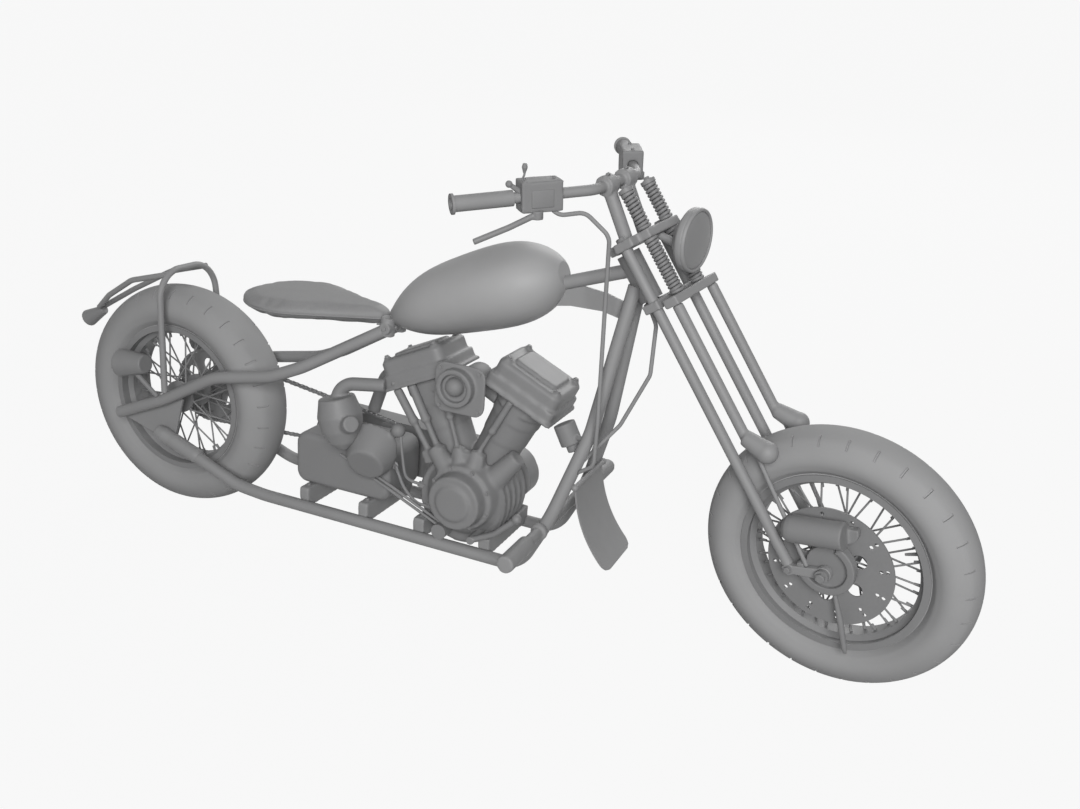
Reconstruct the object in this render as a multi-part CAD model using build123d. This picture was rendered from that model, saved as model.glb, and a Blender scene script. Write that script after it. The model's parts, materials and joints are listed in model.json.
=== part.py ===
from build123d import *
from math import acos, atan2, cos, degrees, pi, radians, sin, sqrt
import os

# Rigid-frame chopper motorcycle with a springer fork, parked on its side stand.
# Millimetres. The machine is drawn upright and straight ahead, +X forward, +Y to its left,
# +Z up, with the rear tyre touching the ground below X = 0. The fork is then turned to
# where it rests, and the whole machine is leaned over onto its stand.

# Stance
WHEELBASE = 1925.0
LEAN = 10.5              # to the left, onto the side stand
STEER_REST = -13.8       # the bars rest turned to the right
RAKE = 35.0              # neck and fork legs, from the vertical
AXLE_AHEAD = 133.0       # front axle ahead of the neck axis
AXLE_ALONG = -795.0      # and along it from the neck's middle

# Fits and gaps
RUNNING_FIT = 0.05       # radial, shafts that turn
SEAT_GAP = 0.3           # between curved pieces that seat on each other

# Wheels
REAR_RADIUS = 330.0
REAR_WIDTH = 156.0
REAR_CROWN = 95.0
REAR_BEAD = 207.0
REAR_RIM_HALF = 54.0
FRONT_RADIUS = 325.0
FRONT_WIDTH = 126.0
FRONT_CROWN = 76.0
FRONT_BEAD = 213.0
FRONT_RIM_HALF = 38.0
TYRE_WALL = 12.0
RIM_FLANGE = 12.0        # height of the rim's edge above the bead seat
RIM_WALL = 4.0
RIM_WELL = 13.0          # depth of the well below the bead seat
SPOKE_RADIUS = 2.4
SPOKE_COUNT = 40
AXLE_RADIUS = 10.0
HUB_RADIUS = 27.0
HUB_FLANGE = 48.0
REAR_HUB_RIGHT = 76.0    # reach of the hubs to each side
REAR_HUB_LEFT = 97.0
FRONT_HUB_HALF = 62.0
REAR_FLANGE_Y = 40.0
FRONT_FLANGE_Y = 32.0
SPROCKET_Y = 89.0
SPROCKET_R = 106.0
SPROCKET_THICK = 6.0
ROTOR_RADIUS = 150.0
ROTOR_THICK = 5.0
ROTOR_Y = 50.0

# Frame
TUBE = 17.0              # radius of the main frame tubes
RAIL_Y = 125.5           # centre line of the lower rails and of the stays at the axle
PLATE_THICK = 7.0
NECK_TUBE = 29.0
STRAP_THICK = 6.0        # arched strap between the backbone and the downtubes
STEM = 15.0
NECK_TOP = 56.0          # ends of the neck tube along its axis
NECK_BOTTOM = -66.0
HOOP_TUBE = 9.0
HOOP_RISE = 386.0        # hoop over the rear tyre, above the axle
PEG_BAR = 15.0
PEG = 22.0
PEG_REACH = 356.0

# Seat
SEAT_X = 400.0           # middle of its wide end
SEAT_HALF = 160.0
SEAT_NOSE_X = 652.0
SEAT_NOSE = 40.0
SEAT_LOW = 668.0
SEAT_THICK = 33.0

# Fork, in its own frame: ahead of the neck axis, and along it from the neck's middle
REAR_LEG_AHEAD = 58.0
SPRING_LEG_AHEAD = 112.0
LEG_Y = 84.5
LEG = 13.0
LEG_FOOT_AT = -751.0
YOKE_TOP_FROM = 62.0
YOKE_LOW_TOP = -69.0
YOKE_THICK = 22.0
ROD_AHEAD = 106.0
ROD_Y = 50.0
ROD = 6.0
SPRING = 17.0
COIL_PITCH = 14.0
BRIDGE_AT = -88.0
SPRING_TOP = 176.0
BAR_AHEAD = 63.0
BAR_AT = 214.0
BAR = 12.7
BAR_END_AHEAD = -104.4
BAR_END_Y = 361.0
BAR_END_AT = 323.4
BAR_BEND_Y = 92.0
BAR_BORE = 8.0           # open bar ends
BAR_BORE_DEEP = 60.0
GRIP = 18.0
GRIP_LENGTH = 140.0
LAMP_RADIUS = 74.0
LAMP_DEPTH = 66.0

# Engine
CRANK_X = 960.0
CRANK_Z = 245.0
V_HALF = 25.0            # each cylinder leans this far from the vertical
BARREL = 62.0
BARREL_FROM = 112.0      # from the crank to the foot of each barrel
HEAD_AT = 262.0          # to the seat of each head
BOX_AT = 330.0           # and to the seat of each rocker box
BOX_LONG = 214.0
BOX_WIDE = 186.0
CASE_HALF = 78.0
PUSHROD_Y = 80.0
FLAT_Y = 66.0            # the fins are cut flat beside the pushrod tubes

# Side stand
STAND_X = 862.0
STAND_Y = 158.0
STAND_Z = 150.0
STAND_FOOT_X = 925.0
STAND_FOOT_Y = 322.0
STAND_LEG = 9.0
STAND_FOLDED = (-1.0, 0.07, 0.03)

STEER_AXIS = Vector(-sin(radians(RAKE)), 0, cos(radians(RAKE)))
AHEAD_DIR = Vector(cos(radians(RAKE)), 0, sin(radians(RAKE)))
FRONT_AXLE = Vector(WHEELBASE, 0, FRONT_RADIUS)
NECK = FRONT_AXLE - AHEAD_DIR * AXLE_AHEAD - STEER_AXIS * AXLE_ALONG
AXLE_Z = REAR_RADIUS     # the rear axle's height
PLATE_INNER = RAIL_Y - TUBE - SEAT_GAP - PLATE_THICK
REAR_TYRE = (REAR_RADIUS, REAR_WIDTH, REAR_CROWN, REAR_BEAD, REAR_RIM_HALF)
FRONT_TYRE = (FRONT_RADIUS, FRONT_WIDTH, FRONT_CROWN, FRONT_BEAD, FRONT_RIM_HALF)
bodies = {}
parts = {}


def add(body, name, *shapes):
    """Keep a finished piece, or like pieces, under a node's name on the body that carries it."""
    parts[name] = shapes[0] if len(shapes) == 1 else Compound(list(shapes))
    bodies.setdefault(body, []).append(name)


def at_fork(ahead, y, along):
    """A point given ahead of the neck axis and along it."""
    return NECK + AHEAD_DIR * ahead + Vector(0, y, 0) + STEER_AXIS * along


def rod(start, end, radius, end_radius=None):
    """A straight round bar, or a cone, between two points."""
    start, end = Vector(start), Vector(end)
    run = end - start
    base = Plane(origin=start, z_dir=run)
    if end_radius is None:
        return base * Pos(0, 0, run.length / 2) * Cylinder(radius, run.length)
    return base * Pos(0, 0, run.length / 2) * Cone(radius, end_radius, run.length)


def bent(points, radius, bend):
    """A round bar along straight runs joined by tangent arcs."""
    path = FilletPolyline(*[Vector(p) for p in points], radius=bend)
    start = Plane(origin=path @ 0, z_dir=path % 0)
    return sweep(start * Circle(radius), path=path)


def across(x, z, radius, y_from, y_to):
    """A round bar lying across the machine."""
    return rod((x, y_from, z), (x, y_to, z), radius)


def around(count, radius):
    """Places (x, z) spaced round a circle."""
    for i in range(count):
        turn = 2 * pi * (i + 0.5) / count
        yield radius * cos(turn), radius * sin(turn)


def flipped(shape):
    """The same piece on the machine's other side."""
    return mirror(shape, about=Plane.XZ)


def across_from(v):
    """The point or direction on the machine's other side."""
    return Vector(v.X, -v.Y, v.Z)


def spun(*edges):
    """A body of revolution about Y from a closed outline of (y, radius)."""
    return revolve(Plane.YZ * make_face(edges), Axis.Y)


def plate(outline, y_from, y_to):
    """A flat plate from an outline of (x, z) corners, between two places across."""
    face = make_face(Polyline(*[(x, y_from, z) for x, z in outline], close=True))
    return extrude(face, amount=y_to - y_from, dir=(0, 1, 0))


def ahead_of(ahead, along):
    """The (x, z) of a point given ahead of the neck axis and along it."""
    point = at_fork(ahead, 0, along)
    return point.X, point.Z


def fork_block(ahead_from, ahead_to, half_y, along_from, along_to):
    """A block square to the neck axis."""
    size = (ahead_to - ahead_from, 2 * half_y, along_to - along_from)
    middle = at_fork((ahead_from + ahead_to) / 2, 0, (along_from + along_to) / 2)
    return Plane(origin=middle, x_dir=AHEAD_DIR, z_dir=STEER_AXIS) * Box(*size)


# Wheels


def tyre_side(radius, width, crown, bead, rim_half):
    """Outer corners of one side of a tyre, (across, radius), from the tread to the bead."""
    half = width / 2
    shoulder = 0.68 * half
    shoulder_r = radius - crown + sqrt(crown ** 2 - shoulder ** 2)
    lip = bead + RIM_FLANGE + 2
    wide_r = lip + 0.46 * (shoulder_r - lip)
    return ((0.2 * half, radius), (shoulder, shoulder_r), (half, wide_r), (rim_half, lip), (rim_half, bead))


def tyre(*size):
    """A hollow tyre of straight bands, open to the rim between its beads."""
    tread, shoulder, wide, lip, heel = tyre_side(*size)
    foot = lip[0] - TYRE_WALL
    inner_shoulder = (shoulder[0] - 0.7 * TYRE_WALL, shoulder[1] - TYRE_WALL)
    inner_wide = (wide[0] - TYRE_WALL, wide[1])
    half = (tread, shoulder, wide, lip, heel, (foot, heel[1]), inner_wide, inner_shoulder)
    return spun(Polyline(*half, *[(-y, r) for y, r in reversed(half)], close=True))


def rim(bead, rim_half):
    """A drop-centre rim: flanges, bead seats and a well for the spoke ends."""
    seat = bead - SEAT_GAP
    edge = rim_half + SEAT_GAP
    top = bead + RIM_FLANGE
    well = seat - RIM_WELL
    well_half = 0.42 * rim_half
    side = (
        (well_half, well), (well_half + 8, seat), (edge, seat), (edge, top), (edge + RIM_WALL, top),
        (edge + RIM_WALL, seat - RIM_WALL), (well_half + 11, seat - RIM_WALL),
        (well_half + 3, well - RIM_WALL))
    outline = list(side) + [(-y, r) for y, r in reversed(side)]
    return spun(Polyline(*outline, close=True))


def spokes(bead, flange_y):
    """Crossed spokes from the two hub flanges to the rim's well."""
    well = bead - SEAT_GAP - RIM_WELL - RIM_WALL - 1.2
    root_r = HUB_FLANGE - 5
    for i in range(SPOKE_COUNT):
        side = 1 if i % 2 else -1
        lead = 1 if i % 4 < 2 else -1
        angle = 2 * pi * i / SPOKE_COUNT
        root = angle + lead * radians(34)
        start = (root_r * cos(root), side * flange_y, root_r * sin(root))
        end = (well * cos(angle), side * 6, well * sin(angle))
        yield rod(start, end, SPOKE_RADIUS)


def hub(bead, flange_y, right, left):
    """A spool hub with its spokes laced into it, bored for the axle."""
    body = across(0, 0, HUB_RADIUS, -right, left)
    for side in (-1, 1):
        body += across(0, 0, HUB_FLANGE, side * flange_y - 4, side * flange_y + 4)
    body += list(spokes(bead, flange_y))
    return body - across(0, 0, AXLE_RADIUS + RUNNING_FIT, -right - 1, left + 1)


def make_wheels():
    rear_at = Pos(0, 0, REAR_RADIUS)
    front_at = Pos(WHEELBASE, 0, FRONT_RADIUS)
    add("rear_wheel", "rear_tyre", rear_at * tyre(*REAR_TYRE))
    add("rear_wheel", "rear_rim", rear_at * rim(REAR_BEAD, REAR_RIM_HALF))
    add("rear_wheel", "rear_hub",
        rear_at * hub(REAR_BEAD, REAR_FLANGE_Y, REAR_HUB_RIGHT, REAR_HUB_LEFT))
    sprocket = across(0, 0, SPROCKET_R, SPROCKET_Y, SPROCKET_Y + SPROCKET_THICK)
    sprocket -= across(0, 0, HUB_RADIUS + SEAT_GAP, SPROCKET_Y - 1, SPROCKET_Y + SPROCKET_THICK + 1)
    for x, z in around(6, 0.64 * SPROCKET_R):
        sprocket -= across(x, z, 19, SPROCKET_Y - 1, SPROCKET_Y + SPROCKET_THICK + 1)
    add("rear_wheel", "rear_sprocket", rear_at * sprocket)
    add("front_wheel", "front_tyre", front_at * tyre(*FRONT_TYRE))
    add("front_wheel", "front_rim", front_at * rim(FRONT_BEAD, FRONT_RIM_HALF))
    add("front_wheel", "front_hub",
        front_at * hub(FRONT_BEAD, FRONT_FLANGE_Y, FRONT_HUB_HALF, FRONT_HUB_HALF))
    rotor = across(0, 0, ROTOR_RADIUS, -ROTOR_Y - ROTOR_THICK / 2, -ROTOR_Y + ROTOR_THICK / 2)
    rotor -= across(0, 0, HUB_RADIUS + SEAT_GAP, -ROTOR_Y - ROTOR_THICK, -ROTOR_Y + ROTOR_THICK)
    for count, share, hole in ((12, 0.9, 5), (12, 0.8, 5), (6, 0.5, 18)):
        for x, z in around(count, share * ROTOR_RADIUS):
            rotor -= across(x, z, hole, -ROTOR_Y - ROTOR_THICK, -ROTOR_Y + ROTOR_THICK)
    add("front_wheel", "brake_rotor", front_at * rotor)


# Frame


BACKBONE_REAR = Vector(700, 0, 690)
CRADLE_X = NECK.X - 164  # front corner of the cradle, below the downtubes
CRADLE_CORNER = Vector(CRADLE_X, RAIL_Y, 205)
RAIL_FRONT = Vector(CRADLE_X - 38, RAIL_Y, 129)
RAIL_REAR = Vector(372, RAIL_Y, 133)


def make_frame():
    neck_solid = rod(at_fork(0, 0, NECK_BOTTOM), at_fork(0, 0, NECK_TOP), NECK_TUBE)
    neck_bore = rod(at_fork(0, 0, NECK_BOTTOM - 5), at_fork(0, 0, NECK_TOP + 5), STEM + RUNNING_FIT)
    backbone = rod(BACKBONE_REAR, at_fork(0, 0, 14), TUBE)

    down_line = [at_fork(-14, 20, -20), (CRADLE_X + 106, 72, 505), (CRADLE_X + 40, RAIL_Y, 285),
                 CRADLE_CORNER]
    down = bent(down_line, TUBE, 300) - neck_solid
    around_down = bent(down_line, TUBE + SEAT_GAP, 300)
    around_down += flipped(around_down)
    add("frame", "downtubes", down, flipped(down))

    rail = bent([CRADLE_CORNER, RAIL_FRONT, RAIL_REAR, (278, RAIL_Y, 141), (12, RAIL_Y, AXLE_Z - 90)],
                TUBE, [84, 500, 200])
    add("frame", "lower_rails", rail, flipped(rail))

    stay = bent([(-150, RAIL_Y, AXLE_Z - 54), (22, RAIL_Y, AXLE_Z + 20), (200, RAIL_Y, AXLE_Z + 120),
                 (386, 118, AXLE_Z + 157), (477, 104, AXLE_Z + 197), (690, 38, 652)],
                TUBE, [300, 200, 200, 200])
    add("frame", "seat_stays", stay, flipped(stay))

    outline = ((-158, -68), (-20, -106), (40, -90), (70, 22), (20, 32), (-60, 0))
    axle_plate = plate([(x, AXLE_Z + z) for x, z in outline], PLATE_INNER, PLATE_INNER + PLATE_THICK)
    axle_plate -= across(0, AXLE_Z, AXLE_RADIUS + SEAT_GAP, 0, RAIL_Y)
    add("frame", "axle_plates", axle_plate, flipped(axle_plate))

    axle = across(0, AXLE_Z, AXLE_RADIUS, -PLATE_INNER - PLATE_THICK, PLATE_INNER + PLATE_THICK)
    for start, end in ((-PLATE_INNER + SEAT_GAP, -REAR_HUB_RIGHT - 1),
                       (REAR_HUB_LEFT + 1, PLATE_INNER - SEAT_GAP)):
        axle += across(0, AXLE_Z, 16, start, end)
    add("frame", "rear_axle", axle)

    top = AXLE_Z + HOOP_RISE
    hoop = bent([(22, -RAIL_Y, AXLE_Z + 42), (22, -RAIL_Y, AXLE_Z + 150), (8, -112, top), (8, 112, top),
                 (22, RAIL_Y, AXLE_Z + 150), (22, RAIL_Y, AXLE_Z + 42)], HOOP_TUBE, [300, 85, 85, 300])
    arm = bent([(8, 84, top - 10), (-122, 80, top - 46), (-241, 50, top - 115), (-320, 12, top - 171)],
               8, [80, 80])
    lamp = rod((-312, 0, top - 180), (-378, 0, top - 218), 13, 26)
    add("frame", "tail_lamp", lamp)
    add("frame", "rear_hoop", hoop + arm + flipped(arm) - parts["seat_stays"] - lamp)
    turn = rod((4, 130, AXLE_Z + 20), (-46, 160, AXLE_Z + 94), 7)
    turn += rod((-100, 160, AXLE_Z + 117), (-10, 160, AXLE_Z + 129), 41, 27)
    turn -= stay
    add("frame", "turn_lamps", turn, flipped(turn))

    bar_x, bar_z = CRADLE_X + 23, 252
    bar = across(bar_x, bar_z, PEG_BAR, -PEG_REACH + 6, PEG_REACH - 6)
    for side in (-1, 1):
        bar += across(bar_x, bar_z, PEG, side * (PEG_REACH - 128), side * PEG_REACH)
        bar += across(bar_x, bar_z, PEG, side * (RAIL_Y + TUBE + 1), side * (RAIL_Y + TUBE + 18))
    add("frame", "peg_bar", bar - around_down)

    guard_x = CRADLE_X + 89
    guard_rod = across(guard_x, 368, 6, -102, 102)
    for side in (-1, 1):
        guard_rod += Pos(guard_x, side * 102, 368) * Sphere(9)
        guard_rod += rod((guard_x, side * 90, 368), (guard_x - 21, side * 96, 360), 6)
    curve = ThreePointArc((guard_x, -95, 366), (guard_x + 33, -95, 250), (guard_x + 103, -95, 156))
    across_curve = Plane(origin=curve @ 0, x_dir=(0, 1, 0), z_dir=curve % 0)
    guard = sweep(across_curve * Pos(95, 0) * Rectangle(190, 4), path=curve)
    add("frame", "stone_guard", guard + guard_rod - around_down)

    end_x, end_z = NECK.X - 12, NECK.Z - 97
    strap = plate(((1104, 782), (1196, 797), (end_x - 70, 797), (end_x - 2, end_z - 22),
                   (end_x - 2, end_z + 22), (end_x - 62, 843), (1217, 852), (1104, 822)),
                  -STRAP_THICK / 2, STRAP_THICK / 2)
    strap += Pos(end_x, 0, end_z) * Box(8, 70, 44)
    strap -= around_down
    add("frame", "frame_backbone", backbone + strap + neck_solid - neck_bore)


def make_seat_and_tank():
    sections = ((700, 686, 20, 22), (760, 716, 78, 60), (860, 760, 112, 92), (980, 806, 122, 104),
                (1080, 842, 112, 98), (1150, 866, 72, 60), (1172, 874, 36, 30))
    faces = []
    for x, z, half_wide, half_high in sections:
        square_to_backbone = Plane(origin=(x, 0, z), x_dir=(0, 1, 0), z_dir=(1, 0, 0.34))
        faces.append(square_to_backbone * Ellipse(half_wide, half_high))
    tank = loft(faces)
    backbone = rod(BACKBONE_REAR, at_fork(0, 0, 14), TUBE + SEAT_GAP)
    tank -= Pos(640, 0, 670) * Box(124, 200, 50) + Pos(690, 0, 664) * Box(61, 51, 7)
    strap_slot = Pos(1150, 0, 780) * Box(112, STRAP_THICK + 2 * SEAT_GAP, 160)
    add("frame", "fuel_tank", tank - backbone - strap_slot)

    # The seat's outline is two circles and the flanks tangent to both
    reach = SEAT_NOSE_X - SEAT_X
    slope = (SEAT_HALF - SEAT_NOSE) / reach
    lean_in = sqrt(1 - slope ** 2)
    wide_x, wide_y = SEAT_X + SEAT_HALF * slope, SEAT_HALF * lean_in
    nose_x, nose_y = SEAT_NOSE_X + SEAT_NOSE * slope, SEAT_NOSE * lean_in
    outline = Pos(SEAT_X, 0) * Circle(SEAT_HALF) + Pos(SEAT_NOSE_X, 0) * Circle(SEAT_NOSE)
    outline += make_face(Polyline((wide_x, wide_y), (nose_x, nose_y), (nose_x, -nose_y), (wide_x, -wide_y),
                                  close=True))
    pan = extrude(Pos(0, 0, SEAT_LOW) * outline, amount=SEAT_THICK)
    pan = chamfer(pan.faces().sort_by(Axis.Z)[-1].edges(), 9)
    pan = chamfer(pan.faces().sort_by(Axis.Z)[0].edges(), 4)
    add("frame", "seat", pan - backbone)
    add("frame", "seat_mount", Pos(690, 0, 664) * Box(60, 50, 6))


def at_crank(lean, up):
    """A point up one cylinder's axis from the crank."""
    return Vector(CRANK_X + up * sin(radians(lean)), 0, CRANK_Z + up * cos(radians(lean)))


def rocker_box():
    """A rocker box on its seat at Z = 0: a lipped base, a narrower lid, a raised panel and bolt bosses."""
    box = Pos(0, 0, 1) * Box(60, 60, 2)
    for inset, corner, low, high in ((0, 12, 0, 9), (6, 16, 9, 38), (12, 24, 38, 80), (44, 12, 80, 88)):
        outline = RectangleRounded(BOX_LONG - 2 * inset, BOX_WIDE - 2 * inset, corner)
        tier = extrude(Pos(0, 0, low) * outline, amount=high - low)
        if low == 38:
            tier = chamfer(tier.faces().sort_by(Axis.Z)[-1].edges(), 8)
        box += tier
    for side_x in (-1, 1):
        for side_y in (-1, 1):
            box += Pos(side_x * (BOX_LONG / 2 - 32), side_y * (BOX_WIDE / 2 - 32), 80) * Cylinder(10, 12)
    return box


def make_engine():
    case = across(CRANK_X, CRANK_Z, 120, -CASE_HALF, CASE_HALF)
    for rib_y in (-64, -32, 0, 32, 64):
        case += across(CRANK_X, CRANK_Z, 126, rib_y - 4, rib_y + 4)
    barrels = []
    for name, lean in (("rear", -V_HALF), ("front", V_HALF)):
        barrel = rod(at_crank(lean, BARREL_FROM), at_crank(lean, 196), BARREL - 6, BARREL - 2)
        barrel += rod(at_crank(lean, 196), at_crank(lean, HEAD_AT), BARREL, BARREL + 3)
        case -= rod(at_crank(lean, BARREL_FROM), at_crank(lean, HEAD_AT), BARREL + 4)
        barrels.append((name, lean, barrel))
    add("frame", "crankcase", case)
    groups = {"cylinders": [], "cylinder_heads": [], "rocker_boxes": []}
    for name, lean, barrel in barrels:
        side = -1 if lean < 0 else 1
        half = Pos(CRANK_X + side * 200.5, 0, 400) * Box(400, 400, 900)
        keep = half - Pos(CRANK_X, -FLAT_Y - 50, 450) * Box(900, 100, 500)
        groups["cylinders"].append(barrel & keep)
        head = rod(at_crank(lean, HEAD_AT), at_crank(lean, 296), BARREL + 6)
        head += rod(at_crank(lean, 296), at_crank(lean, BOX_AT), BARREL + 12)
        groups["cylinder_heads"].append(head & keep)
        axis = at_crank(lean, 1) - at_crank(lean, 0)
        box_seat = Plane(origin=at_crank(lean, BOX_AT), x_dir=Vector(axis.Z, 0, -axis.X), z_dir=axis)
        groups["rocker_boxes"].append(box_seat * rocker_box() & half)
    for name, pair in groups.items():
        add("frame", name, *pair)

    cover_x, cover_z = CRANK_X + 18, CRANK_Z + 25
    cover = rod((cover_x, -CASE_HALF, cover_z), (cover_x, -CASE_HALF - 40, cover_z), 97, 88)
    cover += rod((cover_x, -CASE_HALF - 40, cover_z), (cover_x, -CASE_HALF - 80, cover_z), 76, 72)
    cover += rod((cover_x, -CASE_HALF - 80, cover_z), (cover_x, -CASE_HALF - 88, cover_z), 50, 46)
    add("frame", "cam_cover", cover)
    boxes = parts["rocker_boxes"]
    heads = parts["cylinder_heads"]
    tappets = Pos(CRANK_X - 78, -PUSHROD_Y - 1, 360) * Rot(0, -V_HALF, 0) * Box(66, 29, 36)
    tappets += Pos(CRANK_X + 20, -PUSHROD_Y - 1, 374) * Box(92, 29, 30)
    tubes = []
    for foot_x, foot_z, top_x, top_z, radius in ((866, 360, 748, 536, 12), (892, 372, 796, 549, 12),
                                                 (950, 380, 880, 590, 10), (1000, 380, 1092, 556, 10)):
        foot, top = Vector(foot_x, -PUSHROD_Y, foot_z), Vector(top_x, -PUSHROD_Y, top_z)
        step = foot + (top - foot) * 0.42
        collar = (top - foot).normalized() * 10
        tube = rod(foot, step, radius - 3) + rod(step, top, radius) + rod(step, step + collar, radius + 1.8)
        tubes.append(tube - boxes - tappets)
    add("frame", "pushrod_tubes", *tubes)
    add("frame", "tappet_blocks", tappets - case - cover)
    carb = across(955, 565, 38, -126, 20)
    backing = Plane(origin=(968, -126, 570), x_dir=(1, 0, 0), z_dir=(0, -1, 0))
    carb += backing * extrude(RectangleRounded(140, 130, 28), amount=8)
    carb += across(964, 578, 49, -160, -134) - across(964, 578, 36, -161, -144)
    carb += Pos(965, -152, 582) * Sphere(24)
    for reach_x in (-85, 85):
        carb += rod((955, -10, 560), (955 + reach_x, -10, 516), 20)
    add("frame", "carburettor", carb - heads - boxes - parts["cylinders"])

    gearbox = Box(300, 170, 150)
    gearbox = fillet(gearbox.edges().filter_by(Axis.Y), 34)
    gearbox = Pos(600, -10, 262) * chamfer(gearbox.faces().sort_by(Axis.Y)[0].edges(), 10)
    add("frame", "gearbox", gearbox)
    gear_cover = rod((700, -82, 344), (710, -150, 312), 86, 50) - Pos(700, -47, 340) * Box(300, 96, 300)
    gear_cover += rod((735, -100, 372), (779, -100, 410), 9) + Pos(779, -100, 410) * Sphere(20)
    add("frame", "gearbox_cover", gear_cover)
    primary = plate(((400, 190), (1050, 190), (1090, 250), (1050, 330), (430, 350), (370, 270)), 108, 176)
    primary += across(CRANK_X, CRANK_Z, 60, CASE_HALF, 109)
    add("frame", "primary_cover", primary)
    mounts = []
    for mount_x, length, top in ((500, 30, 187), (690, 30, 187), (862, 34, 185), (1056, 34, 180)):
        mount = Pos(mount_x, 0, (top + 130) / 2) * Box(length, 2 * RAIL_Y, top - 130)
        mounts.append(mount - case - parts["lower_rails"])
    add("frame", "engine_mounts", *mounts)
    stack = bent([(734, -94, 524), (618, -125, 516), (608, -140, 450)], 18, 45)
    can_top, can_dir = Vector(613, -140, 482), Vector(34, 0, -144).normalized()
    egg = ((0, 48), (10, 50), (48, 60), (88, 55), (122, 40), (142, 20))     # along it, radius
    for (start, start_r), (end, end_r) in zip(egg, egg[1:]):
        stack += rod(can_top + can_dir * start, can_top + can_dir * end, start_r, end_r)
    stack += rod((650, -158, 414), (694, -192, 438), 22)
    add("frame", "rear_exhaust", stack - boxes - gear_cover)
    add("frame", "left_exhaust", bent([(720, 60, 515), (640, 70, 500), (600, 70, 380)], 18, 45) - boxes)
    canister = rod((1222, -50, 510), (1248, -50, 461), 28) + rod((1248, -50, 461), (1257, -50, 444), 17)
    canister += rod((1236, -50, 484), (CRADLE_X + 104, -76, 486), 7)
    add("frame", "canister", canister - parts["downtubes"])

    lever = across(1026, 172, 11, -146, -CASE_HALF) + Pos(1150, -136, 262) * Sphere(13)
    lever += bent([(1026, -136, 172), (1090, -136, 204), (1150, -136, 262)], 8, 60)
    add("frame", "foot_lever", lever)
    brake_rod = across(928, 167, 21, -134, -100)
    for rise in (0, 13):
        brake_rod += rod((600, -99, 302 + rise), (928, -112, 170 + rise), 4)
    brake_rod = brake_rod - parts["lower_rails"] - gear_cover
    add("frame", "brake_rod", brake_rod.solids().sort_by(Axis.X)[-1])


# Chain


def make_chain():
    drive_x, drive_z, drive_r = 640.0, 300.0, 44.0
    drive = across(drive_x, drive_z, drive_r, 85, 97) + across(drive_x, drive_z, 14, 75, 108)
    add("frame", "drive_sprocket", drive)
    run = Vector(drive_x, 0, drive_z - REAR_RADIUS)
    tilt = atan2(run.Z, run.X)
    band = []
    for rim_gap in (8, 1):
        big, small = SPROCKET_R + rim_gap, drive_r + rim_gap
        corners = []
        for sign in (1, -1):
            angle = tilt + sign * acos((big - small) / run.length)
            corners.append((big * cos(angle), REAR_RADIUS + big * sin(angle),
                            drive_x + small * cos(angle), drive_z + small * sin(angle)))
        top, low = corners
        body = plate((top[:2], top[2:], low[2:], low[:2]), 84, 100)
        body += across(0, REAR_RADIUS, big, 84, 100)
        body += across(drive_x, drive_z, small, 84, 100)
        band.append(body)
    add("frame", "chain", band[0] - band[1])


# Fork


def coils(low, high):
    """A coil spring between two seats, as its rings, round a rod."""
    length = (high - low).length
    count = round(length / COIL_PITCH)
    pitch = length / count
    outline = [(ROD + SEAT_GAP, 0)]
    for i in range(count):
        outline += [(SPRING, i * pitch), (SPRING, (i + 0.55) * pitch),
                    (SPRING - 4, (i + 0.65) * pitch), (SPRING - 4, (i + 0.9) * pitch)]
    outline[-1] = (SPRING - 4, length)
    outline.append((ROD + SEAT_GAP, length))
    section = Plane.XZ * make_face(Polyline(*outline, close=True))
    return Plane(origin=low, z_dir=high - low) * revolve(section, Axis.Z)


def bar_line():
    """Middle of the bars, the left bar's bend and its end, and the direction to its end."""
    middle = at_fork(BAR_AHEAD, 0, BAR_AT)
    bend = middle + Vector(0, BAR_BEND_Y, 0)
    end = at_fork(BAR_END_AHEAD, BAR_END_Y, BAR_END_AT)
    return middle, bend, end, (end - bend).normalized()


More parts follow.
